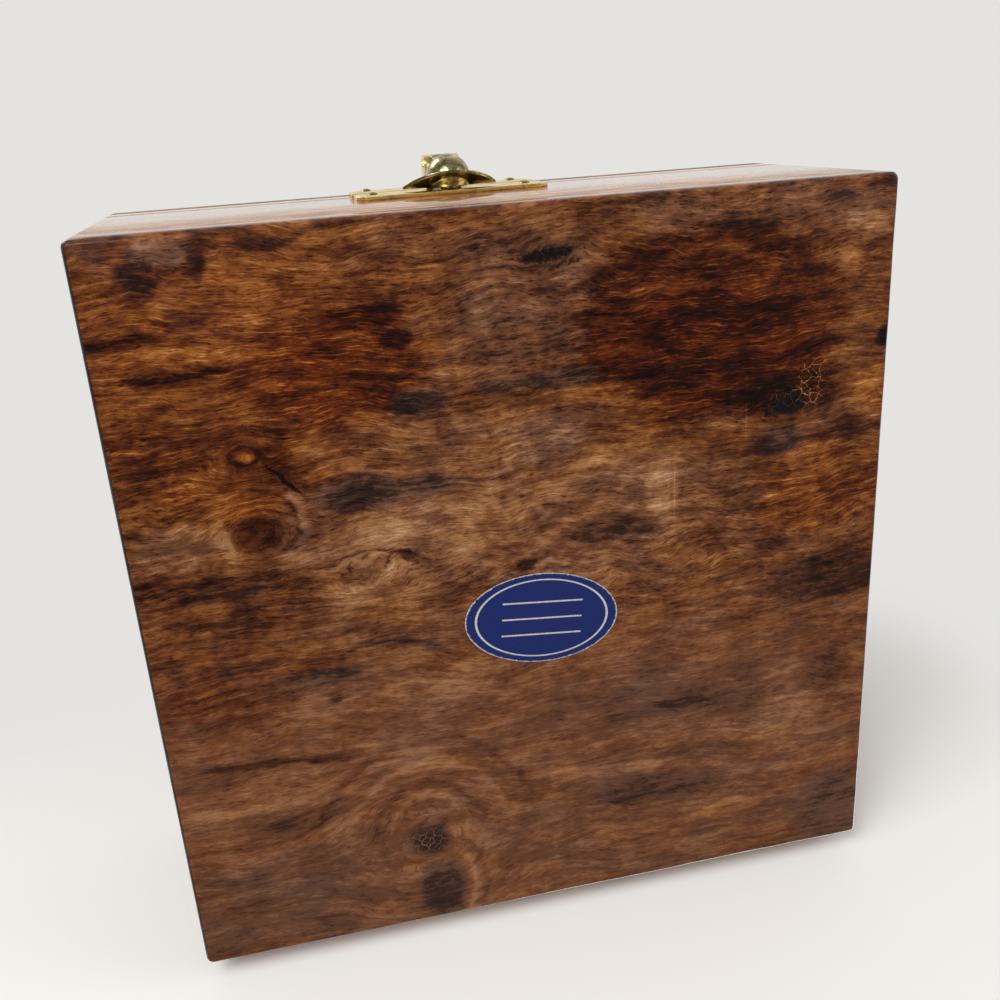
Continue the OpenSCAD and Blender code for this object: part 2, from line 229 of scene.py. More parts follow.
@dataclass(frozen=True)
class Rosewood:
    """Sheesham, a figured Indian rosewood, planed, sanded and brushed with glossy lacquer.

    The eye gets silky fibres and short dark pores on orange brown, mottled by purplish heartwood
    clouds, and a clear coat whose reflections are a little hazy.

    Sizes of grain end in _mm, and length stretches the fibres along the board. Shares say how
    strongly each kind of grain shows. From the first to the second place of calm_mm across the
    board, the grain fades to the share in calm. Faces that look down keep coat_below of the coat.
    Patches are summed in batches, because a renderer holds only so many values at once.
    """

    name: str
    grain: Grain
    seed: Point = (0.0, 0.0, 0.0)
    patches: tuple[Patch, ...] = ()
    arcs: tuple[Arc, ...] = ()
    knots: tuple[Knot, ...] = ()
    crackles: tuple[Crackle, ...] = ()
    base_tone: float = 0.47
    grey_share: float = 0.3
    red_share: float = 0.35
    drift_mm: float = 7.0
    wave_mm: float = 1.3
    ripple_mm: float = 0.32
    growth_mm: float = 1.5
    streak_mm: float = 0.8
    silk_mm: float = 0.3
    pore_mm: float = 0.17
    length: float = 2.4
    calm: float = 1.0
    calm_mm: Flat = (-10.0, 25.0)
    coat: float = 1.0
    coat_below: float = 0.2
    coat_rough: float = 0.08
    cloud_share: float = 0.2
    mottle_share: float = 0.13
    growth_share: float = 0.5
    streak_share: float = 0.55
    pore_share: float = 0.2
    crack_share: float = 0.62
    batch: int = 8
    rim_mm: float | None = None

    def coordinates(self, g: Graph) -> tuple[bpy.types.NodeSocket, bpy.types.NodeSocket]:
        """Lays millimetres along, across and into the board.

        Args:
            g: The material's graph.

        Returns:
            The board's own coordinates, and the same moved to this board's stretch of tree.
        """
        axes = g.add("ShaderNodeSeparateXYZ", g.millimetres()).node
        along, across, deep = (axes.outputs[axis] for axis in self.grain.value)
        board = g.add("ShaderNodeCombineXYZ", along, across, deep)
        tree = g.add("ShaderNodeVectorMath", board, self.seed, operation="ADD")
        return board, tree

    def noise(self, g: Graph, vector: bpy.types.NodeSocket, grain_mm: Point, detail: float = 2.0,
              out: str = "Fac", rough: float = 0.5) -> bpy.types.NodeSocket:
        """Adds noise whose grains have a real size.

        Args:
            g: The material's graph.
            vector: Coordinates in millimetres.
            grain_mm: Size of one grain along, across and into the board.
            detail: Octaves of finer noise.
            out: "Fac" or "Color".
            rough: How strong the finer octaves are.

        Returns:
            The noise's output.
        """
        scaled = g.add("ShaderNodeVectorMath", vector, tuple(1 / s for s in grain_mm), operation="MULTIPLY")
        return g.add("ShaderNodeTexNoise", out=out, sockets={
            "Vector": scaled, "Scale": 1.0, "Detail": detail, "Roughness": rough})

    def step(self, g: Graph, value: bpy.types.NodeSocket, low: float, high: float,
             first: float = 0.0, last: float = 1.0) -> bpy.types.NodeSocket:
        """Turns a value smoothly from one number to another between two thresholds.

        Args:
            g: The material's graph.
            value: The value.
            low: Where the change begins.
            high: Where it ends.
            first: The number before it.
            last: The number after it.

        Returns:
            The output.
        """
        return g.add("ShaderNodeMapRange", value, low, high, first, last, interpolation_type="SMOOTHSTEP")

    def pile(self, g: Graph, total: bpy.types.NodeSocket, part: bpy.types.NodeSocket,
             weight: float | bpy.types.NodeSocket, middle: float = 0.0) -> bpy.types.NodeSocket:
        """Adds a weighted part to a total.

        Args:
            g: The material's graph.
            total: The total so far.
            part: What is added.
            weight: How much of it.
            middle: The part's value that changes nothing.

        Returns:
            The new total.
        """
        if middle:
            part = g.add("ShaderNodeMath", part, -middle, operation="ADD")
        return g.add("ShaderNodeMath", part, weight, total, operation="MULTIPLY_ADD")

    def oval(self, g: Graph, board: bpy.types.NodeSocket, at: Flat, half: Flat,
             turn: float = 0.0) -> tuple[bpy.types.NodeSocket, bpy.types.NodeSocket]:
        """Gives coordinates that reach 1 at the rim of an oval.

        Args:
            g: The material's graph.
            board: The board's coordinates in millimetres.
            at: The oval's middle.
            half: Its half sizes.
            turn: Its turn in degrees.

        Returns:
            The oval's own coordinates, and the distance from its middle.
        """
        endless = 1000.0
        local = g.add("ShaderNodeMapping", board, (at[0], at[1], 0.0), (0.0, 0.0, math.radians(turn)),
                      (half[0], half[1], endless), vector_type="TEXTURE")
        return local, g.add("ShaderNodeVectorMath", local, operation="LENGTH", out="Value")

    def fray(self, g: Graph, board: bpy.types.NodeSocket, tree: bpy.types.NodeSocket
             ) -> dict[Edge, bpy.types.NodeSocket]:
        """Shifts the coordinates unevenly, so that edges drawn with them run ragged along the grain.

        Args:
            g: The material's graph.
            board: The board's own coordinates in millimetres.
            tree: The coordinates moved to this board's stretch of tree.

        Returns:
            The shifted coordinates for each kind of edge.
        """
        broad = self.noise(g, tree, (9.0, 4.5, 14.0), detail=6.0, out="Color", rough=0.66)
        small = self.noise(g, tree, (2.2, 1.3, 4.0), detail=3.0, out="Color", rough=0.6)
        shifted = {}
        for edge in Edge:
            uneven = small if edge is Edge.FINE else broad
            uneven = g.add("ShaderNodeVectorMath", uneven, (-0.5, -0.5, -0.5), operation="ADD")
            shifted[edge] = g.add("ShaderNodeVectorMath", uneven, (*edge.value, 0.0), board,
                                  operation="MULTIPLY_ADD")
        return shifted

    def flow(self, g: Graph, loose: bpy.types.NodeSocket, tree: bpy.types.NodeSocket
             ) -> tuple[bpy.types.NodeSocket, bpy.types.NodeSocket]:
        """Bends the straight grain into drifts, waves and curves round the knots.

        Args:
            g: The material's graph.
            loose: The board's coordinates, unevenly shifted.
            tree: The coordinates moved to this board's stretch of tree.

        Returns:
            The bent coordinates, and how dark the hearts of the knots are.
        """
        shift = g.add("ShaderNodeMath", 0.0, 0.0, operation="ADD")
        bends = (((46.0, 30.0, 40.0), self.drift_mm), ((10.0, 9.0, 14.0), self.wave_mm),
                 ((2.6, 3.2, 6.0), self.ripple_mm))
        for grain_mm, size in bends:
            shift = self.pile(g, shift, self.noise(g, tree, grain_mm), 2 * size, middle=0.5)
        steep = 3.0
        for knot in self.knots:
            local, far = self.oval(g, loose, knot.at, knot.reach)
            near = g.add("ShaderNodeMapRange", far, 0.0, 1.0, 1.0, 0.0, interpolation_type="SMOOTHERSTEP")
            side = g.add("ShaderNodeSeparateXYZ", local, out="Y")
            side = g.add("ShaderNodeMath", side, steep, operation="MULTIPLY")
            side = g.add("ShaderNodeClamp", side, -1.0, 1.0)
            push = g.add("ShaderNodeMath", near, side, operation="MULTIPLY")
            shift = self.pile(g, shift, push, -knot.push)
        moved = g.add("ShaderNodeCombineXYZ", 0.0, shift, 0.0)
        bent = g.add("ShaderNodeVectorMath", tree, moved, operation="ADD")
        dark = g.add("ShaderNodeMath", 0.0, 0.0, operation="ADD")
        for knot in self.knots:
            _, deep = self.oval(g, loose, knot.at, knot.core)
            heart = self.step(g, deep, 0.45, 1.3, 1.0, 0.0)
            ring = g.add("ShaderNodeMath", deep, min(knot.core) * self.growth_mm / knot.ring_mm,
                         operation="MULTIPLY")
            rings = g.add("ShaderNodeCombineXYZ", knot.at[0], ring, 0.0)
            bent = g.add("ShaderNodeMix", data_type="VECTOR", out=1, sockets={
                "Factor": heart, 4: bent, 5: rings})
            dark = self.pile(g, dark, heart, knot.dark)
        return bent, dark

    def heap(self, g: Graph, total: bpy.types.NodeSocket, mask: bpy.types.NodeSocket,
             change: Point) -> bpy.types.NodeSocket:
        """Adds a masked change to a vector total.

        Args:
            g: The material's graph.
            total: The total so far.
            mask: How much of the change counts.
            change: The change in tone, redness and greyness.

        Returns:
            The new total.
        """
        part = g.add("ShaderNodeVectorMath", change, None, None, operation="SCALE", sockets={"Scale": mask})
        return g.add("ShaderNodeVectorMath", total, part, operation="ADD")

    def wait(self, g: Graph, frayed: dict[Edge, bpy.types.NodeSocket], total: bpy.types.NodeSocket
             ) -> dict[Edge, bpy.types.NodeSocket]:
        """Makes the coordinates wait for a total, so that the next patches come after the last ones.

        Args:
            g: The material's graph.
            frayed: The board's coordinates for each kind of edge.
            total: The total that must be known first.

        Returns:
            The same coordinates, known only after the total.
        """
        nothing = (0.0, 0.0, 0.0)
        return {edge: g.add("ShaderNodeVectorMath", total, nothing, place, operation="MULTIPLY_ADD")
                for edge, place in frayed.items()}

    def regions(self, g: Graph, frayed: dict[Edge, bpy.types.NodeSocket]) -> bpy.types.NodeSocket:
        """Sums the board's patches and arcs.

        Args:
            g: The material's graph.
            frayed: The board's coordinates for each kind of edge.

        Returns:
            A vector of change in tone, redness and greyness.
        """
        total = g.add("ShaderNodeCombineXYZ", 0.0, 0.0, 0.0)
        for count, patch in enumerate(self.patches, 1):
            if count % self.batch == 0:
                frayed = self.wait(g, frayed, total)
            _, far = self.oval(g, frayed[patch.edge], patch.at, patch.half, patch.turn)
            mask = self.step(g, far, 1.0 - patch.soft, 1.0 + patch.soft, 1.0, 0.0)
            total = self.heap(g, total, mask, (patch.tone, patch.red, patch.grey))
        frayed = self.wait(g, frayed, total)
        for arc in self.arcs:
            local, far = self.oval(g, frayed[arc.edge], arc.at, arc.half, arc.turn)
            off = g.add("ShaderNodeMath", far, -1.0, operation="ADD")
            off = g.add("ShaderNodeMath", off, operation="ABSOLUTE")
            mask = self.step(g, off, 0.0, 2 * arc.wide, 1.0, 0.0)
            if arc.faces is not None:
                looks = math.radians(arc.faces)
                side = g.add("ShaderNodeVectorMath", local, (math.cos(looks), math.sin(looks), 0.0),
                             operation="DOT_PRODUCT", out="Value")
                mask = g.add("ShaderNodeMath", mask, self.step(g, side, 0.0, 0.7), operation="MULTIPLY")
            total = self.heap(g, total, mask, (arc.tone, 0.0, arc.grey))
        return total

    def cracks(self, g: Graph, loose: bpy.types.NodeSocket,
               tone: bpy.types.NodeSocket) -> bpy.types.NodeSocket:
        """Adds the pale cracks round the knots to the tone.

        Args:
            g: The material's graph.
            loose: The board's coordinates, unevenly shifted.
            tone: The tone so far.

        Returns:
            The new tone.
        """
        for crackle in self.crackles:
            _, far = self.oval(g, loose, crackle.at, crackle.half)
            near = self.step(g, far, 0.35, 1.0, 1.0, 0.0)
            web = g.add("ShaderNodeTexVoronoi", feature="DISTANCE_TO_EDGE", voronoi_dimensions="2D",
                        sockets={"Vector": loose, "Scale": 1 / crackle.cell_mm})
            line = self.step(g, web, 0.0, crackle.wide, 1.0, 0.0)
            line = g.add("ShaderNodeMath", line, near, operation="MULTIPLY")
            tone = self.pile(g, tone, line, self.crack_share)
        return tone

    def rim(self, g: Graph, board: bpy.types.NodeSocket, tone: bpy.types.NodeSocket,
            patchy: bpy.types.NodeSocket) -> bpy.types.NodeSocket:
        """Darkens the rim of the face at both ends and at the back, but not at the front.

        Args:
            g: The material's graph.
            board: The board's own coordinates in millimetres.
            tone: The tone so far.
            patchy: Noise that thins the darkening in places.

        Returns:
            The new tone.
        """
        axes = g.add("ShaderNodeSeparateXYZ", board).node
        ends = g.add("ShaderNodeMath", axes.outputs["X"], operation="ABSOLUTE")
        reach = g.add("ShaderNodeMath", ends, axes.outputs["Y"], operation="MAXIMUM")
        # A darker band along the rim at both ends and at the back, none at the front
        rim_darkening = self.step(g, reach, self.rim_mm - 0.65, self.rim_mm - 0.2)
        flat = g.add("ShaderNodeTexCoord", out="Normal")
        flat = g.add("ShaderNodeSeparateXYZ", flat, out="Z")
        flat = g.add("ShaderNodeMath", flat, operation="ABSOLUTE")
        rim_darkening = g.add("ShaderNodeMath", rim_darkening, self.step(g, flat, 0.1, 0.6), operation="MULTIPLY")
        thick = g.add("ShaderNodeMapRange", patchy, 0.35, 0.6, 0.45, 0.8)
        rim_darkening = g.add("ShaderNodeMath", rim_darkening, thick, operation="MULTIPLY")
        return self.pile(g, tone, rim_darkening, -1.0)

    def build(self) -> bpy.types.Material:
        """Makes the material.

        Returns:
            The finished material.
        """
        g = Graph(bpy.data.materials.new(self.name))
        board, tree = self.coordinates(g)
        frayed = self.fray(g, board, tree)
        bent, dark = self.flow(g, frayed[Edge.LOOSE], tree)
        change = g.add("ShaderNodeSeparateXYZ", self.regions(g, frayed)).node

        clouds = self.noise(g, tree, (9.0, 4.6, 12.0), detail=5.0, rough=0.62)
        mottle = self.noise(g, tree, (2.4, 1.2, 4.0), detail=4.0, rough=0.66)
        growth = self.noise(g, bent, (22.0 * self.length, self.growth_mm, 8.0), detail=2.0, rough=0.55)
        streaks = self.noise(g, bent, (6.0 * self.length, self.streak_mm, 5.0), detail=3.0, rough=0.62)
        silk = self.noise(g, bent, (2.8 * self.length, self.silk_mm, 2.5), detail=2.0, rough=0.6)
        pores = self.noise(g, bent, (1.2 * self.length, self.pore_mm, 1.0), detail=1.0)
        purple = self.noise(g, tree, (14.0, 7.0, 14.0), detail=5.0, rough=0.6)

        pore = self.step(g, pores, 0.56, 0.66)
        red = g.add("ShaderNodeMath", clouds, 1.6 * self.red_share, change.outputs["Y"],
                    operation="MULTIPLY_ADD")
        red = g.add("ShaderNodeMath", red, -0.4 * self.red_share, operation="ADD")
        red = g.add("ShaderNodeClamp", red, 0.0, 1.0)
        grey = self.step(g, purple, 0.42, 0.62, 0.0, self.grey_share)
        grey = g.add("ShaderNodeMath", grey, change.outputs["Z"], operation="ADD")
        grey = g.add("ShaderNodeClamp", grey, 0.0, 1.0)

        fine = g.add("ShaderNodeMath", 0.0, 0.0, operation="ADD")
        fine = self.pile(g, fine, self.step(g, clouds, 0.4, 0.6), self.cloud_share, middle=0.5)
        fine = self.pile(g, fine, self.step(g, mottle, 0.36, 0.62), self.mottle_share, middle=0.5)
        fine = self.pile(g, fine, growth, self.growth_share, middle=0.5)
        fine = self.pile(g, fine, streaks, self.streak_share, middle=0.5)
        shine = g.add("ShaderNodeMath", red, 0.2, 0.08, operation="MULTIPLY_ADD")
        fine = self.pile(g, fine, self.step(g, silk, 0.53, 0.68), shine)
        fine = self.pile(g, fine, pore, -self.pore_share)
        across = g.add("ShaderNodeSeparateXYZ", board, out="Y")
        plain = g.add("ShaderNodeMapRange", across, *self.calm_mm, 1.0, self.calm,
                      interpolation_type="SMOOTHSTEP")
        tone = g.add("ShaderNodeMath", self.base_tone, change.outputs["X"], operation="ADD")
        tone = self.pile(g, tone, fine, plain)
        tone = self.pile(g, tone, dark, -1.0)
        if self.crackles:
            tone = self.cracks(g, frayed[Edge.FINE], tone)
        if self.rim_mm:
            tone = self.rim(g, board, tone, clouds)

        brown = g.ramp(tone, [(0.0, "#0e0302"), (0.15, "#280e04"), (0.3, "#47200c"), (0.45, "#6a3a1a"),
                              (0.6, "#895429"), (0.75, "#a6713f"), (0.9, "#c39060"), (1.0, "#d8ab7e")])
        ruddy = g.ramp(tone, [(0.0, "#120301"), (0.2, "#310c02"), (0.4, "#5a2206"), (0.6, "#854213"),
                              (0.8, "#ab692a"), (1.0, "#cf944c")])
        purplish = g.ramp(tone, [(0.0, "#120a09"), (0.25, "#38231c"), (0.5, "#6b4736"), (0.75, "#996f57"),
                                 (1.0, "#c6a088")])
        colour = g.add("ShaderNodeMix", data_type="RGBA", out=2, sockets={
            "Factor": red, 6: brown, 7: ruddy})
        colour = g.add("ShaderNodeMix", data_type="RGBA", out=2, sockets={
            "Factor": grey, 6: colour, 7: purplish})

        # Polishing leaves the open pores a little below the lacquered face
        hollow = g.add("ShaderNodeMath", pore, -1.0, silk, operation="MULTIPLY_ADD")
        grain_bump = g.add("ShaderNodeBump", sockets={
            "Strength": 0.25, "Distance": 0.00004, "Height": hollow})
        swell = self.noise(g, tree, (9.0, 5.0, 9.0), detail=2.0)
        coat_bump = g.add("ShaderNodeBump", sockets={
            "Strength": 0.2, "Distance": 0.0001, "Height": swell, "Normal": grain_bump})
        rough = g.add("ShaderNodeMapRange", clouds, 0.3, 0.7, 0.38, 0.56)
        # Use has rubbed the lacquer off the faces that look down
        faces = g.add("ShaderNodeTexCoord", out="Normal")
        faces = g.add("ShaderNodeSeparateXYZ", faces, out="Z")
        coat = g.add("ShaderNodeMapRange", faces, -0.95, -0.7, self.coat_below, self.coat)
        shader = g.add("ShaderNodeBsdfPrincipled", sockets={
            "Base Color": colour, "Roughness": rough, "IOR": 1.5, "Specular IOR Level": 0.05,
            "Coat Weight": coat, "Coat Roughness": self.coat_rough, "Coat IOR": 1.5,
            "Normal": grain_bump, "Coat Normal": coat_bump})
        g.add("ShaderNodeOutputMaterial", shader)
        return g.owner


@dataclass(frozen=True)
class PolishedBrass:
    """Stamped sheet brass, buffed and thinly lacquered: bright yellow with brown tarnish in smears."""

    name: str = "stamped_brass"
    bright: str = "#f4d98e"
    tarnished: str = "#8a7444"
    smear_mm: float = 2.4
    rub_mm: float = 0.35
    least_rough: float = 0.12
    most_rough: float = 0.34
    tarnish_from: float = 0.5
    tarnish_to: float = 0.78
    tarnish_most: float = 0.85
    rub_share: float = 0.35

    def build(self) -> bpy.types.Material:
        """Makes the material.

        Returns:
            The finished material.
        """
        g = Graph(bpy.data.materials.new(self.name))
        place = g.millimetres()
        smear = g.add("ShaderNodeTexNoise", sockets={
            "Vector": place, "Scale": 1 / self.smear_mm, "Detail": 4.0, "Roughness": 0.6})
        rub = g.add("ShaderNodeTexNoise", sockets={
            "Vector": place, "Scale": 1 / self.rub_mm, "Detail": 2.0, "Roughness": 0.6})
        tarnish = g.add("ShaderNodeMapRange", smear, self.tarnish_from, self.tarnish_to,
                        0.0, self.tarnish_most, interpolation_type="SMOOTHSTEP")
        colour = g.add("ShaderNodeMix", data_type="RGBA", out=2, sockets={
            "Factor": tarnish, 6: linear(self.bright), 7: linear(self.tarnished)})
        mixed = g.add("ShaderNodeMath", rub, self.rub_share, smear, operation="MULTIPLY_ADD")
        rough = g.add("ShaderNodeMapRange", mixed, 0.5, 0.95, self.least_rough, self.most_rough)
        bump = g.add("ShaderNodeBump", sockets={"Strength": 0.2, "Distance": 0.00003, "Height": rub})
        shader = g.add("ShaderNodeBsdfPrincipled", sockets={
            "Base Color": colour, "Metallic": 1.0, "Roughness": rough, "Normal": bump})
        g.add("ShaderNodeOutputMaterial", shader)
        return g.owner


@dataclass(frozen=True)
class CottonVelvet:
    """Short cotton velvet glued over card: a deep wine red whose nap lies in brushed patches.

    The real pile is a tenth of a millimetre, too fine to show, so its tufts are drawn twice that.
    """

    name: str = "wine_velvet"
    deep: str = "#3a070c"
    brushed: str = "#7c1a22"
    sheen: str = "#d8868c"
    tuft_mm: float = 0.22
    nap_mm: float = 14.0
    tuft_share: float = 0.5

    def build(self) -> bpy.types.Material:
        """Makes the material.

        Returns:
            The finished material.
        """
        g = Graph(bpy.data.materials.new(self.name))
        place = g.millimetres()
        nap = g.add("ShaderNodeTexNoise", sockets={
            "Vector": place, "Scale": 1 / self.nap_mm, "Detail": 3.0, "Roughness": 0.55, "Distortion": 0.6})
        tufts = g.add("ShaderNodeTexNoise", sockets={
            "Vector": place, "Scale": 1 / self.tuft_mm, "Detail": 2.0, "Roughness": 0.7})
        lay = g.add("ShaderNodeMapRange", nap, 0.36, 0.66, 0.0, 0.8, interpolation_type="SMOOTHSTEP")
        mixed = g.add("ShaderNodeMath", tufts, self.tuft_share, lay, operation="MULTIPLY_ADD")
        mixed = g.add("ShaderNodeMath", mixed, -0.15, operation="ADD")
        colour = g.add("ShaderNodeMix", data_type="RGBA", out=2, sockets={
            "Factor": mixed, 6: linear(self.deep), 7: linear(self.brushed)})
        bump = g.add("ShaderNodeBump", sockets={"Strength": 0.6, "Distance": 0.00015, "Height": tufts})
        shader = g.add("ShaderNodeBsdfPrincipled", sockets={
            "Base Color": colour, "Roughness": 0.9, "Sheen Weight": 0.7, "Sheen Roughness": 0.35,
            "Sheen Tint": linear(self.sheen), "Normal": bump})
        g.add("ShaderNodeOutputMaterial", shader)
        return g.owner


@dataclass(frozen=True)
class PrintedPaper:
    """Coated label paper printed deep blue, with a cream keyline and ruled lines, worn at the rim."""

    name: str = "printed_label_paper"
    blue: str = "#11205e"
    rubbed: str = "#182c74"
    cream: str = "#d9d6c8"
    middle: Flat = LABEL_MIDDLE_MM
    half: Flat = LABEL_HALF_MM
    turn: float = LABEL_TURN_DEG
    keyline: float = 0.86
    keyline_wide: float = 0.022
    rule_apart_mm: float = 3.0
    rule_wide_mm: float = 0.28
    rule_half_mm: float = 7.0
    rules_half_mm: float = 3.6

    def build(self) -> bpy.types.Material:
        """Makes the material.

        Returns:
            The finished material.
        """
        g = Graph(bpy.data.materials.new(self.name))
        place = g.millimetres()
        fray = g.add("ShaderNodeTexNoise", sockets={
            "Vector": place, "Scale": 1.6, "Detail": 4.0, "Roughness": 0.7})
        local = g.add("ShaderNodeMapping", place, (self.middle[0], self.middle[1], 0.0),
                      (0.0, 0.0, math.radians(self.turn)), (1.0, 1.0, 1.0), vector_type="TEXTURE")
        unit = g.add("ShaderNodeVectorMath", local, (1 / self.half[0], 1 / self.half[1], 0.0),
                     operation="MULTIPLY")
        reach = g.add("ShaderNodeVectorMath", unit, operation="LENGTH", out="Value")

        from_key = g.add("ShaderNodeMath", reach, -self.keyline, operation="ADD")
        from_key = g.add("ShaderNodeMath", from_key, operation="ABSOLUTE")
        key = g.add("ShaderNodeMapRange", from_key, self.keyline_wide * 0.5, self.keyline_wide * 0.8,
                    1.0, 0.0)
        axes = g.add("ShaderNodeSeparateXYZ", local).node
        fold = g.add("ShaderNodeMath", axes.outputs["Y"], self.rule_apart_mm / 2, operation="PINGPONG")
        rule = g.add("ShaderNodeMapRange", fold, self.rule_wide_mm * 0.35, self.rule_wide_mm * 0.65, 1.0, 0.0)
        for axis, limit in (("X", self.rule_half_mm), ("Y", self.rules_half_mm)):
            off = g.add("ShaderNodeMath", axes.outputs[axis], operation="ABSOLUTE")
            inside = g.add("ShaderNodeMapRange", off, limit - 0.05, limit + 0.05, 1.0, 0.0)
            rule = g.add("ShaderNodeMath", rule, inside, operation="MULTIPLY")
        ink = g.add("ShaderNodeMath", key, rule, operation="MAXIMUM")
        wear_and_reflection = g.add("ShaderNodeMapRange", fray, 0.35, 0.6, 0.75, 1.0)
        ink = g.add("ShaderNodeMath", ink, wear_and_reflection, operation="MULTIPLY")
        edge = g.add("ShaderNodeMath", fray, 0.07, reach, operation="MULTIPLY_ADD")
        edge = g.add("ShaderNodeMapRange", edge, 1.012, 1.03, 0.0, 0.85)
        pale = g.add("ShaderNodeMath", ink, edge, operation="MAXIMUM")

        mottle = g.add("ShaderNodeMix", data_type="RGBA", out=2, sockets={
            "Factor": fray, 6: linear(self.blue), 7: linear(self.rubbed)})
        colour = g.add("ShaderNodeMix", data_type="RGBA", out=2, sockets={
            "Factor": pale, 6: mottle, 7: linear(self.cream)})
        bump = g.add("ShaderNodeBump", sockets={"Strength": 0.15, "Distance": 0.00004, "Height": fray})
        shader = g.add("ShaderNodeBsdfPrincipled", sockets={
            "Base Color": colour, "Roughness": 0.45, "Specular IOR Level": 0.25, "Coat Weight": 0.1,
            "Coat Roughness": 0.3, "Normal": bump})
        g.add("ShaderNodeOutputMaterial", shader)
        return g.owner


def deselect() -> None:
    """Leaves no object selected, in object mode."""
    if bpy.context.object and bpy.context.object.mode != "OBJECT":
        bpy.ops.object.mode_set(mode="OBJECT")
    bpy.ops.object.select_all(action="DESELECT")


def hold(piece: bpy.types.Object) -> bpy.types.Object:
    """Selects one object alone and makes it the active one.

    Args:
        piece: The object.

    Returns:
        The same object.
    """
    deselect()
    piece.select_set(True)
    bpy.context.view_layer.objects.active = piece
    return piece


def slab(name: str, low: Point, high: Point) -> bpy.types.Object:
    """Adds a block between two corners, given in millimetres.

    Args:
        name: The object's name.
        low: Its lowest corner.
        high: Its highest corner.

    Returns:
        The block, with its place in its mesh.
    """
    deselect()
    middle = [(a + b) / 2 * MM for a, b in zip(low, high)]
    size = [(b - a) * MM for a, b in zip(low, high)]
    bpy.ops.mesh.primitive_cube_add(size=1, location=middle, scale=size)
    piece = bpy.context.object
    piece.name = name
    bpy.ops.object.transform_apply(location=True, rotation=True, scale=True)
    return piece


def pick_edges(piece: bpy.types.Object, test: EdgeTest) -> None:
    """Enters edit mode with only the edges that pass a test selected.

    Args:
        piece: The object.
        test: Takes an edge's two ends, in millimetres, and says whether it is picked.
    """
    hold(piece)
    bpy.ops.object.mode_set(mode="EDIT")
    bpy.ops.mesh.select_mode(type="EDGE")
    bpy.ops.mesh.select_all(action="DESELECT")
    mesh = bmesh.from_edit_mesh(piece.data)
    for edge in mesh.edges:
        if test(edge.verts[0].co / MM, edge.verts[1].co / MM):
            edge.select_set(True)
    mesh.select_flush_mode()
    bmesh.update_edit_mesh(piece.data)


def bevel_picked(width_mm: float, segments: int) -> None:
    """Rounds the picked edges and leaves edit mode.

    Args:
        width_mm: How far the rounding reaches from the edge.
        segments: Flats that make up the round.
    """
    bpy.ops.mesh.bevel(offset=width_mm * MM, segments=segments, profile=0.5, affect="EDGES",
                       clamp_overlap=True)
    bpy.ops.object.mode_set(mode="OBJECT")


def run_modifier(piece: bpy.types.Object, kind: str, **settings: object) -> None:
    """Adds a modifier and applies it.

    Args:
        piece: The object.
        kind: The modifier's type.
        **settings: Its properties.
    """
    hold(piece)
    modifier = piece.modifiers.new(kind.lower(), kind)
    for key, value in settings.items():
        setattr(modifier, key, value)
    bpy.ops.object.modifier_apply(modifier=modifier.name)


def cut_plane(piece: bpy.types.Object, at: Point, normal: Point) -> None:
    """Cuts away what lies on the normal's side of a plane and closes the cut.

    Args:
        piece: The object.
        at: A point of the plane, in millimetres.
        normal: The plane's normal.
    """
    hold(piece)
    bpy.ops.object.mode_set(mode="EDIT")
    bpy.ops.mesh.select_all(action="SELECT")
    bpy.ops.mesh.bisect(plane_co=[c * MM for c in at], plane_no=normal, use_fill=True, clear_outer=True)
    bpy.ops.object.mode_set(mode="OBJECT")


def cut_block(piece: bpy.types.Object, low: Point, high: Point) -> None:
    """Sinks a block-shaped recess into a piece.

    Args:
        piece: The object.
        low: The recess's lowest corner, in millimetres.
        high: Its highest corner.
    """
    tool = slab("recess_tool", low, high)
    run_modifier(piece, "BOOLEAN", operation="DIFFERENCE", solver="EXACT", object=tool)
    bpy.data.objects.remove(tool, do_unlink=True)


def smooth(piece: bpy.types.Object, degrees: float = 30.0) -> None:
    """Shades a piece smooth except across sharp edges.

    Args:
        piece: The object.
        degrees: The angle from which an edge counts as sharp.
    """
    hold(piece)
    bpy.ops.object.shade_smooth_by_angle(angle=math.radians(degrees))


def parallel(a: Vector, b: Vector, axis: int) -> bool:
    """Says whether an edge runs along an axis.

    Args:
        a: The edge's first end.
        b: Its other end.
        axis: The axis, 0 to 2 for X to Z.

    Returns:
        True if it does.
    """
    step = b - a
    return step.length > 0 and abs(step[axis]) > 0.999 * step.length


def dress(piece: bpy.types.Object, material: bpy.types.Material, body: Body, slot: str,
          *nodes: str) -> bpy.types.Object:
    """Gives a finished piece its material and body, and hides the nodes that it stands for.

    Args:
        piece: The object.
        material: Its finish.
        body: The body that it rides on.
        slot: Not used.
        *nodes: The nodes that it replaces.

    Returns:
        The same object.
    """
    piece.data.materials.clear()
    piece.data.materials.append(material)
    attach(piece, body.value)
    if nodes:
        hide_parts(*nodes)
    LOG.info("%s rides on %s", piece.name, body.value)
    return piece


def corners_mm(node: str) -> tuple[Vector, Vector]:
    """Gives a node's corners in millimetres.

    Args:
        node: The node.

    Returns:
        Its lowest and its highest corner.
    """
    low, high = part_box(node)
    return Vector(low) / MM, Vector(high) / MM


def merged_copy(node: str, name: str, near_mm: float = 0.002) -> bpy.types.Object:
    """Copies a node's mesh into a new object with its loose triangles joined.

    Args:
        node: The node.
        name: The new object's name.
        near_mm: Points nearer than this become one.

    Returns:
        The copy, selected and active.
    """
    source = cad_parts[node]
    source = source if isinstance(source, bpy.types.Object) else bpy.data.objects[node]
    piece = bpy.data.objects.new(name, source.data.copy())
    bpy.context.collection.objects.link(piece)
    hold(piece)
    bpy.ops.object.mode_set(mode="EDIT")
    bpy.ops.mesh.select_all(action="SELECT")
    bpy.ops.mesh.remove_doubles(threshold=near_mm * MM)
    bpy.ops.object.mode_set(mode="OBJECT")
    return piece


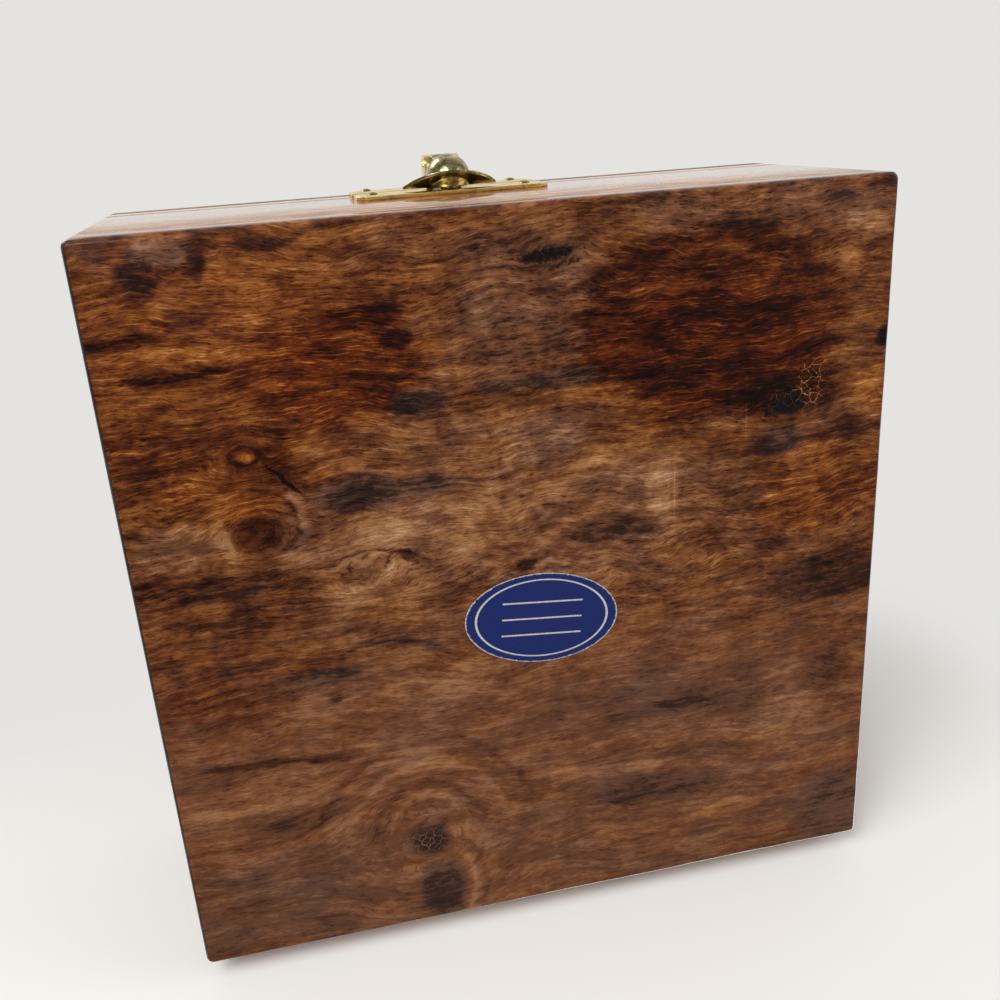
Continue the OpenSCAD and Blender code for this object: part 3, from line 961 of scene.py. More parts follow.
@dataclass
class WoodenBoard:
    """A flat board with rounded upright corners and a hand-eased outer rim."""

    name: str
    node: str
    rim_at_top: bool
    corner_mm: float = 1.2
    ease_mm: float = 0.75
    joint_ease_mm: float = 0.12
    steps: int = 5
    joint_steps: int = 2
    rim_share: float = 0.97
    crease_deg: float = 35.0
    cuts: int = 60
    wear_mm: float = 0.22
    wear_grain_mm: float = 9.0
    lift_mm: float = 0.0

    def build(self) -> bpy.types.Object:
        """Models the board in the place of its node.

        Returns:
            The board.
        """
        low, high = corners_mm(self.node)
        low.z += self.lift_mm
        piece = slab(self.name, low, high)
        pick_edges(piece, lambda a, b: parallel(a, b, 2))
        bevel_picked(self.corner_mm, self.steps)
        pick_edges(piece, lambda a, b: (b - a).length > 3 * self.corner_mm
                   and (parallel(a, b, 0) or parallel(a, b, 1)))
        bpy.ops.mesh.subdivide(number_cuts=self.cuts)
        bpy.ops.object.mode_set(mode="OBJECT")
        rim_z, joint_z = (high.z, low.z) if self.rim_at_top else (low.z, high.z)
        pick_edges(piece, self.on_rim(joint_z))
        bevel_picked(self.joint_ease_mm, self.joint_steps)
        pick_edges(piece, self.on_rim(rim_z))
        bevel_picked(self.ease_mm, self.steps)
        self.wear(piece, rim_z)
        smooth(piece, self.crease_deg)
        return piece

    def on_rim(self, level: float) -> EdgeTest:
        """Makes a test for the edges of the board's outline at a level.

        Args:
            level: The height, in millimetres.

        Returns:
            The test.
        """
        high = corners_mm(self.node)[1]

        def test(a: Vector, b: Vector) -> bool:
            """Says whether an edge lies on the outline at the level.

            Args:
                a: The edge's first end.
                b: Its other end.

            Returns:
                True if it does.
            """
            if abs(a.z - level) > NEAR_MM or abs(b.z - level) > NEAR_MM:
                return False
            mid = (a + b) / 2
            reach_x = max(abs(mid.x) - (high.x - self.corner_mm), 0)
            reach_y = max(abs(mid.y) - (high.y - self.corner_mm), 0)
            return math.hypot(reach_x, reach_y) > self.corner_mm * self.rim_share
        return test

    def wear(self, piece: bpy.types.Object, rim_z: float) -> None:
        """Rubs the eased rim unevenly.

        Args:
            piece: The board.
            rim_z: Height of the rim, in millimetres.
        """
        group = piece.vertex_groups.new(name="rim")
        high = corners_mm(self.node)[1]
        for vertex in piece.data.vertices:
            spot = vertex.co / MM
            out = max(abs(spot.x) - high.x, abs(spot.y) - high.y) + self.ease_mm
            down = self.ease_mm - abs(spot.z - rim_z)
            if out > 0 and down > 0:
                group.add([vertex.index], min(1.0, 2 * min(out, down) / self.ease_mm), "REPLACE")
        grain = bpy.data.textures.new(f"{self.name}_wear", "CLOUDS")
        grain.noise_scale = self.wear_grain_mm * MM
        grain.noise_depth = 3
        run_modifier(piece, "DISPLACE", texture=grain, texture_coords="LOCAL", direction="NORMAL",
                     mid_level=1.0, strength=self.wear_mm * MM, vertex_group="rim")


class Side(Enum):
    """The four sides of a frame of walls, each with the direction that its outer face looks."""

    FRONT = (0, -1)
    BACK = (0, 1)
    LEFT = (-1, 0)
    RIGHT = (1, 0)


@dataclass
class MitredSide:
    """One wall or rail of a mitred frame, cut from a full block with rounded corners."""

    name: str
    node: str
    side: Side
    half_mm: float = HALF_MM
    thick_mm: float = 8.0
    corner_mm: float = 1.2
    steps: int = 6
    arris_mm: float = 0.13
    arris_steps: int = 2
    crease_deg: float = 32.0

    def build(self) -> bpy.types.Object:
        """Models the side in the place of its node.

        Returns:
            The side.
        """
        low, high = corners_mm(self.node)
        half = self.half_mm
        piece = slab(self.name, (-half, -half, low.z), (half, half, high.z))
        pick_edges(piece, lambda a, b: parallel(a, b, 2))
        bevel_picked(self.corner_mm, self.steps)
        out = Vector((*self.side.value, 0.0))
        across = Vector((-out.y, out.x, 0.0))
        cut_plane(piece, tuple(out * (half - self.thick_mm)), tuple(-out))
        for way in (-1, 1):
            cut_plane(piece, (0, 0, 0), tuple(across * way - out))
        pick_edges(piece, lambda a, b: not (parallel(a, b, 2)
                                            and half - (a @ out) < self.corner_mm + NEAR_MM
                                            and abs(abs(a @ across) - (a @ out)) > NEAR_MM))
        bevel_picked(self.arris_mm, self.arris_steps)
        smooth(piece, self.crease_deg)
        return piece


@dataclass
class VelvetCard:
    """A card covered in velvet: edges rolled by the fold of the cloth, faces not quite flat."""

    name: str
    node: str
    body: Body
    cuts: int = 40
    roll: float = 0.42
    roll_steps: int = 3
    sag_mm: float = 0.16
    sag_grain_mm: float = 16.0
    crease_deg: float = 60.0
    fill: float = 0.15

    def build(self, material: bpy.types.Material) -> bpy.types.Object:
        """Models and dresses the card.

        Args:
            material: The velvet.

        Returns:
            The card.
        """
        low, high = corners_mm(self.node)
        piece = slab(self.name, low, high)
        size = high - low
        thin = min(size)
        pick_edges(piece, lambda a, b: (b - a).length > 2 * thin)
        bpy.ops.mesh.subdivide(number_cuts=self.cuts)
        bpy.ops.object.mode_set(mode="OBJECT")
        axis = list(size).index(thin)
        others = [i for i in range(3) if i != axis]

        def on_outline(a: Vector, b: Vector) -> bool:
            """Says whether an edge lies on the card's outline.

            Args:
                a: The edge's first end.
                b: Its other end.

            Returns:
                True if it does.
            """
            mid = (a + b) / 2
            off = [min(abs(mid[i] - low[i]), abs(mid[i] - high[i])) for i in range(3)]
            faced = off[axis] < NEAR_MM
            rim = min(off[i] for i in others) < NEAR_MM
            corner = all(off[i] < NEAR_MM for i in others)
            return (faced and rim) or corner

        pick_edges(piece, on_outline)
        bevel_picked(thin * self.roll, self.roll_steps)
        cloth = bpy.data.textures.new(f"{self.name}_lie", "CLOUDS")
        cloth.noise_scale = self.sag_grain_mm * MM
        cloth.noise_depth = 2
        run_modifier(piece, "DISPLACE", texture=cloth, texture_coords="LOCAL", direction="NORMAL",
                     mid_level=1.0, strength=self.sag_mm * MM)
        smooth(piece, self.crease_deg)
        dress(piece, material, self.body, "velvet", self.node)
        return piece


@dataclass
class PaperLabel:
    """The oval label pasted under the box."""

    name: str = "pasted_label"
    node: str = "underside_label"
    middle: Flat = LABEL_MIDDLE_MM
    half: Flat = LABEL_HALF_MM
    turn: float = LABEL_TURN_DEG
    thick_mm: float = 0.1
    rim_mm: float = 0.25
    sides: int = 96

    def build(self, material: bpy.types.Material) -> bpy.types.Object:
        """Models and dresses the label.

        Args:
            material: The printed paper.

        Returns:
            The label.
        """
        deselect()
        bpy.ops.mesh.primitive_circle_add(vertices=self.sides, radius=1.0, fill_type="NGON")
        piece = bpy.context.object
        piece.name = self.name
        piece.scale = (self.half[0] * MM, self.half[1] * MM, 1.0)
        piece.rotation_euler = (0.0, 0.0, math.radians(self.turn))
        piece.location = (self.middle[0] * MM, self.middle[1] * MM, self.thick_mm * MM)
        bpy.ops.object.transform_apply(location=True, rotation=True, scale=True)
        bpy.ops.object.mode_set(mode="EDIT")
        bpy.ops.mesh.select_all(action="SELECT")
        bpy.ops.mesh.extrude_region_move(TRANSFORM_OT_translate={"value": (0, 0, -self.thick_mm * MM)})
        bpy.ops.mesh.inset(thickness=self.rim_mm * MM)
        bpy.ops.mesh.select_all(action="SELECT")
        bpy.ops.mesh.normals_make_consistent(inside=False)
        bpy.ops.object.mode_set(mode="OBJECT")
        smooth(piece)
        return dress(piece, material, Body.BODY, "label_paper", self.node)


@dataclass
class SoftenedBrass:
    """A brass piece whose sharp arrises are broken, as stamping and buffing leave them."""

    node: str
    body: Body
    slot: str
    arris_mm: float = 0.12
    segments: int = 2
    flat_deg: float = 1.0
    sharp_deg: float = 40.0

    def build(self, material: bpy.types.Material) -> bpy.types.Object:
        """Models the piece from a merged copy of its node.

        Args:
            material: The brass.

        Returns:
            The piece.
        """
        piece = merged_copy(self.node, f"{self.node}_buffed")
        bpy.ops.object.mode_set(mode="EDIT")
        bpy.ops.mesh.select_all(action="SELECT")
        bpy.ops.mesh.dissolve_limited(angle_limit=math.radians(self.flat_deg))
        bpy.ops.object.mode_set(mode="OBJECT")
        run_modifier(piece, "BEVEL", width=self.arris_mm * MM, segments=self.segments,
                     limit_method="ANGLE", angle_limit=math.radians(self.sharp_deg), use_clamp_overlap=True)
        smooth(piece, self.sharp_deg)
        return dress(piece, material, self.body, self.slot, self.node)


@dataclass
class StampedTongue:
    """The latch's tongue: dome, ridge and arched lip drawn from one sheet, with soft inner corners."""

    name: str = "stamped_tongue"
    node: str = "latch_tongue"
    voxel_mm: float = 0.11
    passes: int = 8

    def build(self, material: bpy.types.Material) -> bpy.types.Object:
        """Models and dresses the tongue.

        Args:
            material: The brass.

        Returns:
            The tongue.
        """
        piece = merged_copy(self.node, self.name)
        run_modifier(piece, "REMESH", mode="VOXEL", voxel_size=self.voxel_mm * MM, adaptivity=0.0)
        run_modifier(piece, "SMOOTH", factor=0.5, iterations=self.passes)
        hold(piece)
        bpy.ops.object.shade_smooth()
        return dress(piece, material, Body.TONGUE, "latch_brass", self.node)


@dataclass
class PhotoCamera:
    """The photograph's camera, found by fitting the box's edges."""

    place_mm: Point = (-34.78, -75.59, -153.55)
    aim_mm: Point = (-4.66, -17.45, 0.0)
    down: Point = (-0.13205, 0.93532, -0.32824)
    lens_mm: float = 37.1
    sensor_mm: float = 36.0

    def build(self) -> None:
        """Makes the camera and sets it as the scene's."""
        place = Vector(self.place_mm) * MM
        forward = (Vector(self.aim_mm) * MM - place).normalized()
        right = Vector(self.down).cross(forward).normalized()
        up = right.cross(forward).normalized()
        data = bpy.data.cameras.new("photo_camera")
        data.lens = self.lens_mm
        data.sensor_width = self.sensor_mm
        data.clip_start = 0.005
        data.clip_end = 20.0
        camera = bpy.data.objects.new("photo_camera", data)
        bpy.context.collection.objects.link(camera)
        turn = Matrix((right, up, -forward)).transposed()
        camera.matrix_world = Matrix.Translation(place) @ turn.to_4x4()
        bpy.context.scene.camera = camera


class Lights(Enum):
    """What a lamp lights: everything, all but the table, or nothing but the table."""

    ALL = "ALL"
    BOX = "EXCLUDE"
    TABLE = "INCLUDE"


@dataclass(frozen=True)
class Lamp:
    """A soft square lamp that faces the box: its place and its side in metres, and its watts."""

    name: str
    place: Point
    side: float
    watts: float
    lights: Lights = Lights.ALL


@dataclass
class Studio:
    """A pale floor under the box, the pale table that its back lay on, lamps and backdrop."""

    backdrop: str = "#e4e3e0"
    floor_colour: str = "#f3f2ef"
    light_colour: str = "#fbf8f4"
    light_strength: float = 0.5
    dim_from: Flat = (-0.75, 0.5)
    dim_power: float = 1.6
    dim_least: float = 0.42
    wide_m: float = 2.0
    table_z_m: Flat = (-1.0, 0.2)
    table_y_mm: float = 67.4
    floor_drop_mm: float = 0.35
    fade_m: Flat = (0.3, 0.9)
    beside_m: Point = (0.064, 0.11, 0.15)
    up_m: Flat = (0.04, 0.12)
    under_m: float = 0.006
    aim_m: Point = (0.0, 0.0, 0.025)
    lamps: tuple[Lamp, ...] = (
        Lamp("underside_key", (-0.35, -0.55, -0.55), 0.5, 3.6),
        Lamp("underside_fill", (0.75, -0.35, -0.3), 0.5, 1.4),
        Lamp("top_key", (-0.52, -0.68, 0.62), 0.5, 4.8, Lights.BOX),
        Lamp("back_fill", (0.4, 0.7, 0.5), 0.6, 2.0, Lights.BOX),
        Lamp("table_wash", (-0.5, -0.7, -0.35), 0.5, 3.0, Lights.TABLE),
    )

    def world(self) -> None:
        """Sets an even pale surrounding.

        The camera sees it plain. Gloss sees it too, but dark below the box, as a photographer's
        side of a room is. It lights the box at half strength.
        """
        world = bpy.data.worlds.new("studio")
        bpy.context.scene.world = world
        g = Graph(world)
        rays = g.add("ShaderNodeLightPath").node.outputs
        glossy = g.add("ShaderNodeMath", rays["Is Glossy Ray"], rays["Is Transmission Ray"],
                       operation="MAXIMUM")
        height = g.add("ShaderNodeTexCoord", out="Generated")
        height = g.add("ShaderNodeSeparateXYZ", height, out="Z")
        level = g.add("ShaderNodeMapRange", height, *self.dim_from)
        level = g.add("ShaderNodeMath", level, self.dim_power, operation="POWER")
        level = g.add("ShaderNodeMath", level, self.dim_least, operation="MAXIMUM")
        light = g.add("ShaderNodeBackground", linear(self.light_colour), self.light_strength)
        gloss = g.add("ShaderNodeBackground", linear(self.backdrop), level)
        view = g.add("ShaderNodeBackground", linear(self.backdrop), 1.0)
        shader = g.add("ShaderNodeMixShader", glossy, light, gloss)
        shader = g.add("ShaderNodeMixShader", rays["Is Camera Ray"], shader, view)
        g.add("ShaderNodeOutputWorld", shader)

    def surface(self, name: str, shown: Callable[[Graph, bpy.types.NodeSocket], bpy.types.NodeSocket]
                ) -> bpy.types.Material:
        """Makes a pale matt surface seen from its front only, which fades into the backdrop.

        Args:
            name: The material's name.
            shown: Takes the graph and the place in metres, and gives how much of it shows.

        Returns:
            The material.
        """
        g = Graph(bpy.data.materials.new(name))
        place = g.add("ShaderNodeTexCoord", out="Object")
        seen = shown(g, place)
        back = g.add("ShaderNodeNewGeometry", out="Backfacing")
        front = g.add("ShaderNodeMath", 1.0, back, operation="SUBTRACT")
        seen = g.add("ShaderNodeMath", seen, front, operation="MULTIPLY")
        matt = g.add("ShaderNodeBsdfDiffuse", linear(self.floor_colour))
        clear = g.add("ShaderNodeBsdfTransparent")
        mixed = g.add("ShaderNodeMixShader", seen, clear, matt)
        g.add("ShaderNodeOutputMaterial", mixed)
        return g.owner

    def round_fade(self, g: Graph, place: bpy.types.NodeSocket) -> bpy.types.NodeSocket:
        """Fades a surface with its distance from the box.

        Args:
            g: The material's graph.
            place: The place in metres.

        Returns:
            How much of it shows.
        """
        far = g.add("ShaderNodeVectorMath", place, operation="LENGTH", out="Value")
        return g.add("ShaderNodeMapRange", far, *self.fade_m, 1.0, 0.0, interpolation_type="SMOOTHSTEP")

    def table_fade(self, g: Graph, place: bpy.types.NodeSocket) -> bpy.types.NodeSocket:
        """Leaves the table open behind the box, where the lid swings, and fades it beside the box.

        Args:
            g: The material's graph.
            place: The place in metres.

        Returns:
            How much of it shows.
        """
        axes = g.add("ShaderNodeSeparateXYZ", place).node
        wide = g.add("ShaderNodeMath", axes.outputs["X"], operation="ABSOLUTE")
        near = g.add("ShaderNodeMath", axes.outputs["Z"], self.under_m, operation="LESS_THAN")
        beside = g.add("ShaderNodeMath", wide, self.beside_m[0], operation="GREATER_THAN")
        thin = g.add("ShaderNodeMapRange", wide, *self.beside_m[1:], 1.0, 0.0,
                     interpolation_type="SMOOTHSTEP")
        low = g.add("ShaderNodeMapRange", axes.outputs["Z"], *self.up_m, 1.0, 0.0,
                    interpolation_type="SMOOTHSTEP")
        beside = g.add("ShaderNodeMath", beside, thin, operation="MULTIPLY")
        beside = g.add("ShaderNodeMath", beside, low, operation="MULTIPLY")
        shape = g.add("ShaderNodeMath", near, beside, operation="MAXIMUM")
        return g.add("ShaderNodeMath", shape, self.round_fade(g, place), operation="MULTIPLY")

    def plane(self, name: str, centre: Point, normal: Point, size: Flat,
              paper: bpy.types.Material) -> None:
        """Adds one plane of the stage, which only the camera sees.

        Args:
            name: Its name.
            centre: Its middle, in metres.
            normal: The way its front looks.
            size: Its width and height, in metres.
            paper: Its material.
        """
        deselect()
        turn = Vector(normal).to_track_quat("Z", "Y").to_euler()
        bpy.ops.mesh.primitive_plane_add(size=1, location=centre, rotation=turn)
        piece = bpy.context.object
        piece.name = name
        piece.scale = (size[0], size[1], 1.0)
        bpy.ops.object.transform_apply(location=True, rotation=True, scale=True)
        piece.data.materials.append(paper)
        piece.visible_shadow = False
        piece.visible_diffuse = False
        piece.visible_glossy = False
        piece.visible_transmission = False

    def hang(self, lamp: Lamp) -> None:
        """Hangs one lamp and links it to what it lights.

        Args:
            lamp: The lamp.
        """
        data = bpy.data.lights.new(lamp.name, "AREA")
        data.shape = "SQUARE"
        data.size = lamp.side
        data.energy = lamp.watts
        light = bpy.data.objects.new(lamp.name, data)
        light.location = lamp.place
        aim = Vector(self.aim_m) - Vector(lamp.place)
        light.rotation_mode = "QUATERNION"
        light.rotation_quaternion = aim.to_track_quat("-Z", "Y")
        bpy.context.collection.objects.link(light)
        if lamp.lights is not Lights.ALL:
            linked = bpy.data.collections.new(f"{lamp.name}_link")
            linked.objects.link(bpy.data.objects["table"])
            linked.collection_objects[0].light_linking.link_state = lamp.lights.value
            light.light_linking.receiver_collection = linked

    def build(self) -> None:
        """Makes the world, the stage's planes and the lamps."""
        self.world()
        self.plane("floor", (0.0, 0.0, -self.floor_drop_mm * MM), (0.0, 0.0, 1.0),
                   (self.wide_m, self.wide_m), self.surface("floor_paper", self.round_fade))
        low, high = self.table_z_m
        self.plane("table", (0.0, self.table_y_mm * MM, (low + high) / 2), (0.0, -1.0, 0.0),
                   (self.wide_m, high - low), self.surface("table_paper", self.table_fade))
        for lamp in self.lamps:
            self.hang(lamp)


UNDERSIDE = Rosewood(
    "rosewood_underside",
    Grain.ACROSS_DEPTH,
    rim_mm=HALF_MM,
    length=1.35,
    calm=0.6,
    coat=0.84,
    coat_rough=0.05,
    patches=(
        # Broad drifts of colour
        Patch((-46, -40), (25, 20), -0.02, red=0.35, grey=-0.4, edge=Edge.RAGGED),
        Patch((-28, -42), (14, 8), -0.1, red=0.5, edge=Edge.RAGGED),
        Patch((32, -43.5), (22.5, 14.5), -0.17, red=0.45, grey=-0.35, turn=5, soft=0.1,
              edge=Edge.RAGGED),
        Patch((31, -39), (19, 9), -0.08, red=0.5, grey=-0.4),
        Patch((30, -28.5), (11, 2.5), -0.16, red=0.5),
        Patch((42, -60.5), (26, 5), -0.01, grey=0.3),
        Patch((2, -50), (12, 12), -0.03, grey=0.45, edge=Edge.RAGGED),
        Patch((-18, -29.5), (17, 4), 0.07, grey=0.35, edge=Edge.RAGGED),
        Patch((53, -12), (12, 7), 0.0, red=0.5, grey=-0.3, edge=Edge.RAGGED),
        Patch((0, 38), (74, 36), 0.085, red=0.15, grey=0.4),
        Patch((-4, -13), (38, 11), 0.09, grey=0.35, edge=Edge.RAGGED),
        Patch((-51, 9), (13, 8), -0.07, red=0.4, edge=Edge.RAGGED),
        Patch((24, 24), (22, 5), -0.1, grey=0.3, edge=Edge.RAGGED),
        Patch((-50, 54), (18, 9), -0.05, grey=0.3, edge=Edge.RAGGED),
        Patch((58, 56), (7, 8), -0.11, grey=0.7, edge=Edge.RAGGED),
        # Upper left
        Patch((-51, -60.8), (4.2, 2), 0.17, grey=0.9, soft=0.25),
        Patch((-54.6, -57), (2, 4), -0.26, red=0.3),
        Patch((-46, -60), (1.4, 2.8), -0.18),
        Patch((-36, -61.2), (4, 1), -0.18, grey=0.5),
        Patch((-36, -53.5), (10, 3), 0.1, red=0.2),
        Patch((-23, -49.3), (5.5, 1.8), -0.27, red=0.4),
        Patch((-19, -45.4), (3, 1.3), -0.27, red=0.3),
        Patch((-59, -48.6), (6, 1.2), -0.2),
        Patch((-48, -45.7), (10, 1.4), 0.19, red=0.2),
        Patch((-52, -43), (11, 0.5), -0.26),
        Patch((-57, -30), (8, 1.6), -0.2),
        Patch((-50.5, -25), (6.5, 3), 0.1, red=0.3),
        Patch((-43.6, -30), (4.2, 2.8), -0.16, edge=Edge.FINE),
        Patch((-43.6, -29.7), (1.1, 0.8), 0.3, red=0.5, edge=Edge.FINE),
        Patch((-38.5, -29.5), (2.2, 3.2), -0.22, red=0.2),
        Patch((-38, -25.2), (4, 0.28), -0.32, turn=50, edge=Edge.FINE),
        Patch((-43, -21.8), (4.8, 2), 0.12, red=0.5),
        Patch((-43.2, -17), (3.9, 2.8), -0.2, red=0.3, grey=-0.3, soft=0.35, edge=Edge.FINE),
        Patch((-48.6, -17), (1.2, 4), 0.11, grey=0.2, turn=-14, soft=0.3, edge=Edge.FINE),
        Patch((-56, -16.4), (6.4, 3.8), 0.13, grey=0.3, soft=0.25),
        Patch((-26.5, -21.8), (6.8, 3.2), -0.24, grey=0.9),
        Patch((-15.5, -21.8), (4.8, 1.7), -0.2, grey=0.8),
        Patch((-17, -35.2), (4.4, 2), -0.22, grey=0.8),
        Patch((-3.5, -36.2), (4, 1.1), -0.14, grey=0.6),
        Patch((-26, -14.6), (7, 3), 0.16),
        Patch((-10, -15), (9, 6), 0.09, edge=Edge.RAGGED),
        Patch((-20.4, -10), (2.4, 0.7), -0.22, turn=35, edge=Edge.FINE),
        Patch((-26, -4.6), (8, 4), 0.13),
        Patch((-57, -9.5), (8, 2.6), -0.18),
        Patch((-42, -6), (7.5, 5), -0.13, soft=0.3),
        Patch((-1, -5.3), (1.7, 1.2), -0.28, soft=0.4, edge=Edge.FINE),
        # Upper right
        Patch((5.3, -55.6), (3.9, 0.85), -0.6, grey=0.7, turn=-6, soft=0.4, edge=Edge.FINE),
        Patch((55.5, -49.8), (2.4, 2.2), 0.24, red=0.3),
        Patch((57, -42.5), (4, 3), 0.1, red=0.2),
        Patch((58, -55.8), (4, 2.4), 0.14, grey=0.2),
        Patch((54.4, -60.4), (2.6, 1.1), -0.16, grey=0.4, edge=Edge.FINE),
        Patch((62.9, -37.3), (1.9, 1.6), -0.5, soft=0.4, edge=Edge.FINE),
        Patch((48, -29), (9, 4), -0.2, red=0.2),
        Patch((45.7, -27.6), (2.8, 1.6), -0.5, grey=0.8, soft=0.4, edge=Edge.FINE),
        Patch((60.6, -27.5), (3.4, 6), 0.14, red=0.4),
        Patch((44, -21.5), (5, 2.5), -0.17, grey=0.6),
        Patch((56, -22), (7, 2), -0.14),
        Patch((7, -36.3), (6.5, 1.5), -0.2, grey=0.9),
        Patch((4, -27), (6, 4.5), 0.1, grey=0.5),
        Patch((19.5, -21), (10, 3.2), 0.13),
        Patch((22.9, -15), (3, 3.8), 0.2, soft=0.3),
        Patch((25.3, -15), (0.12, 5.4), 0.12, grey=0.2, turn=1, edge=Edge.CLEAN),
        Patch((38, -27), (0.1, 4.5), 0.14, grey=0.2, edge=Edge.CLEAN),
        Patch((15, -9.6), (7.4, 2.9), -0.24, grey=0.2),
        Patch((34.5, -16), (6, 2.2), -0.12),
        Patch((33, -6.8), (2.2, 2.2), -0.14),
        Patch((43, -3), (4, 2.4), -0.13),
        # Lower left
        Patch((-36, 9.5), (6, 1.3), -0.16, grey=0.7),
        Patch((-34.7, 13.6), (1.1, 1.1), -0.17, edge=Edge.FINE),
        Patch((-19, 15), (12, 3), 0.1),
        Patch((-47, 24.2), (13, 0.9), -0.2, turn=5),
        Patch((-49, 32.4), (15, 1.7), 0.12),
        Patch((-43, 37), (7, 2), -0.16),
        Patch((-23, 25.5), (10, 3), 0.1),
        Patch((-21.6, 45.6), (3.4, 3), -0.27, grey=0.9, edge=Edge.FINE),
        Patch((-20, 57), (4.2, 5.6), -0.24, grey=1.0, soft=0.35),
        # Lower right
        Patch((54, 5.5), (11, 5), -0.25, red=0.3, grey=0.2, soft=0.3),
        Patch((31, 27), (13, 1.9), -0.09, grey=0.2),
        Patch((45.5, 22.5), (5.5, 2), 0.13),
        Patch((54.5, 24), (5, 5), -0.12),
        Patch((46.5, 34), (7, 6), 0.08, soft=0.3),
        Patch((29, 37), (6.5, 2), -0.1),
        Patch((17, 38.4), (18, 1.2), 0.1, turn=6),
        Patch((21, 43.6), (12, 3.4), -0.17, grey=0.4, turn=5),
        Patch((36, 51.4), (6.5, 1.8), 0.13, red=0.2, grey=-0.3, soft=0.3),
    ),
    arcs=(
        Arc((-43.3, -18.4), (7.4, 6.6), 0.09, faces=-10, wide=0.07, grey=0.4),
        Arc((-43.3, -18.4), (6.3, 5.6), -0.16, faces=-10, wide=0.06),
        Arc((-43.6, -29.9), (2.1, 1.5), -0.22, wide=0.16, edge=Edge.FINE),
        Arc((-43, -30), (7, 4.2), -0.13, faces=-60, wide=0.08),
        Arc((-51, -60.4), (6.2, 3.8), -0.2, faces=90, wide=0.14),
        Arc((-25.5, -7.4), (8.4, 4.5), -0.27, faces=-80, wide=0.07, grey=0.2),
        Arc((-25, 9), (9, 4.4), -0.2, faces=-80, wide=0.1, grey=0.5),
        Arc((-21.5, 47), (8, 11), 0.13, faces=-90, wide=0.06),
        Arc((-21.5, 48), (11, 14.5), -0.13, faces=-90, wide=0.05),
        Arc((-21.5, 48), (15, 18.5), 0.12, faces=-90, wide=0.045),
        Arc((-21.5, 49), (20, 25), -0.12, faces=-90, wide=0.035),
        Arc((-20, 57), (6.4, 9), 0.14, faces=0, wide=0.08),
        Arc((-20, 57), (8.4, 11.5), -0.08, faces=0, wide=0.05),
    ),
    knots=(
        Knot((-43.6, -30), (11, 7), 1.9, (3.2, 2.2), 0.0, ring_mm=1.1),
        Knot((-43.3, -17), (14, 11), 3.0, (4.0, 3.0), 0.06, ring_mm=2.4),
        Knot((-21.5, 47), (28, 30), 8.5, (3.5, 3.0), 0.05),
        Knot((5.3, -55.6), (12, 6), 1.6, (2.6, 0.8), 0.0),
        Knot((45.7, -27.6), (14, 8), 2.2, (3.0, 1.8), 0.1),
        Knot((-26, -8), (15, 10), 2.6, (1.0, 0.8), 0.0),
    ),
    crackles=(
        Crackle((46.8, -28.4), (7.5, 3), cell_mm=1.5, wide=0.07),
        Crackle((49.5, -32), (4, 4.5), cell_mm=1.6),
        Crackle((5.3, -55.6), (4.6, 1.6), cell_mm=1.1),
        Crackle((-21.6, 46), (4.4, 3.4), cell_mm=1.3),
    ),
)

LID_TOP = Rosewood(
    "rosewood_lid_top",
    Grain.ACROSS_DEPTH,
    seed=(310, 140, 60),
    rim_mm=HALF_MM,
    coat=0.4,
    coat_rough=0.3,
    patches=(
        Patch((-22, 18), (28, 8), -0.16, red=0.5, edge=Edge.RAGGED),
        Patch((30, -30), (24, 7), -0.14, red=0.4, edge=Edge.RAGGED),
        Patch((44, 40), (18, 6), -0.12, grey=0.6, edge=Edge.RAGGED),
        Patch((-40, -48), (16, 5), -0.14, grey=0.5, edge=Edge.RAGGED),
        Patch((8, 0), (26, 6), 0.1, edge=Edge.RAGGED),
        Patch((-35, -28), (18, 6), 0.1, edge=Edge.RAGGED),
        Patch((20, 52), (16, 4), 0.1, edge=Edge.RAGGED),
    ),
    arcs=(
        Arc((28, 22), (9, 7), 0.14, faces=-30, wide=0.14, grey=0.4),
        Arc((28, 22), (13, 10), -0.12, faces=-60, wide=0.07),
    ),
    knots=(Knot((28, 22), (22, 15), 6.0, (3.8, 2.6), 0.22),),
)


@dataclass
class WoodFinishes:
    """The lacquered rosewood of each board, all from one tree but from different stretches; the front's paler
    tone is partly its own wood and partly painted light.
    """

    made: dict[str, bpy.types.Material] = field(default_factory=dict)

    def build(self) -> None:
        """Makes one material for each board."""
        finishes = (
            UNDERSIDE,
            LID_TOP,
            # Paler base tone: partly the front's own lighter wood, partly a painted highlight for the glare
            # of the light that it faces
            Rosewood("rosewood_front", Grain.ALONG_FRONT, (40, 260, 90), base_tone=0.76,
                     grey_share=0.1, red_share=0.6, coat_rough=0.03),
            Rosewood("rosewood_back", Grain.ALONG_FRONT, (520, 330, 30)),
            Rosewood("rosewood_left", Grain.ALONG_SIDE, (150, 480, 210)),
            Rosewood("rosewood_right", Grain.ALONG_SIDE, (640, 90, 400)),
        )
        for finish in finishes:
            self.made[finish.name.removeprefix("rosewood_")] = finish.build()


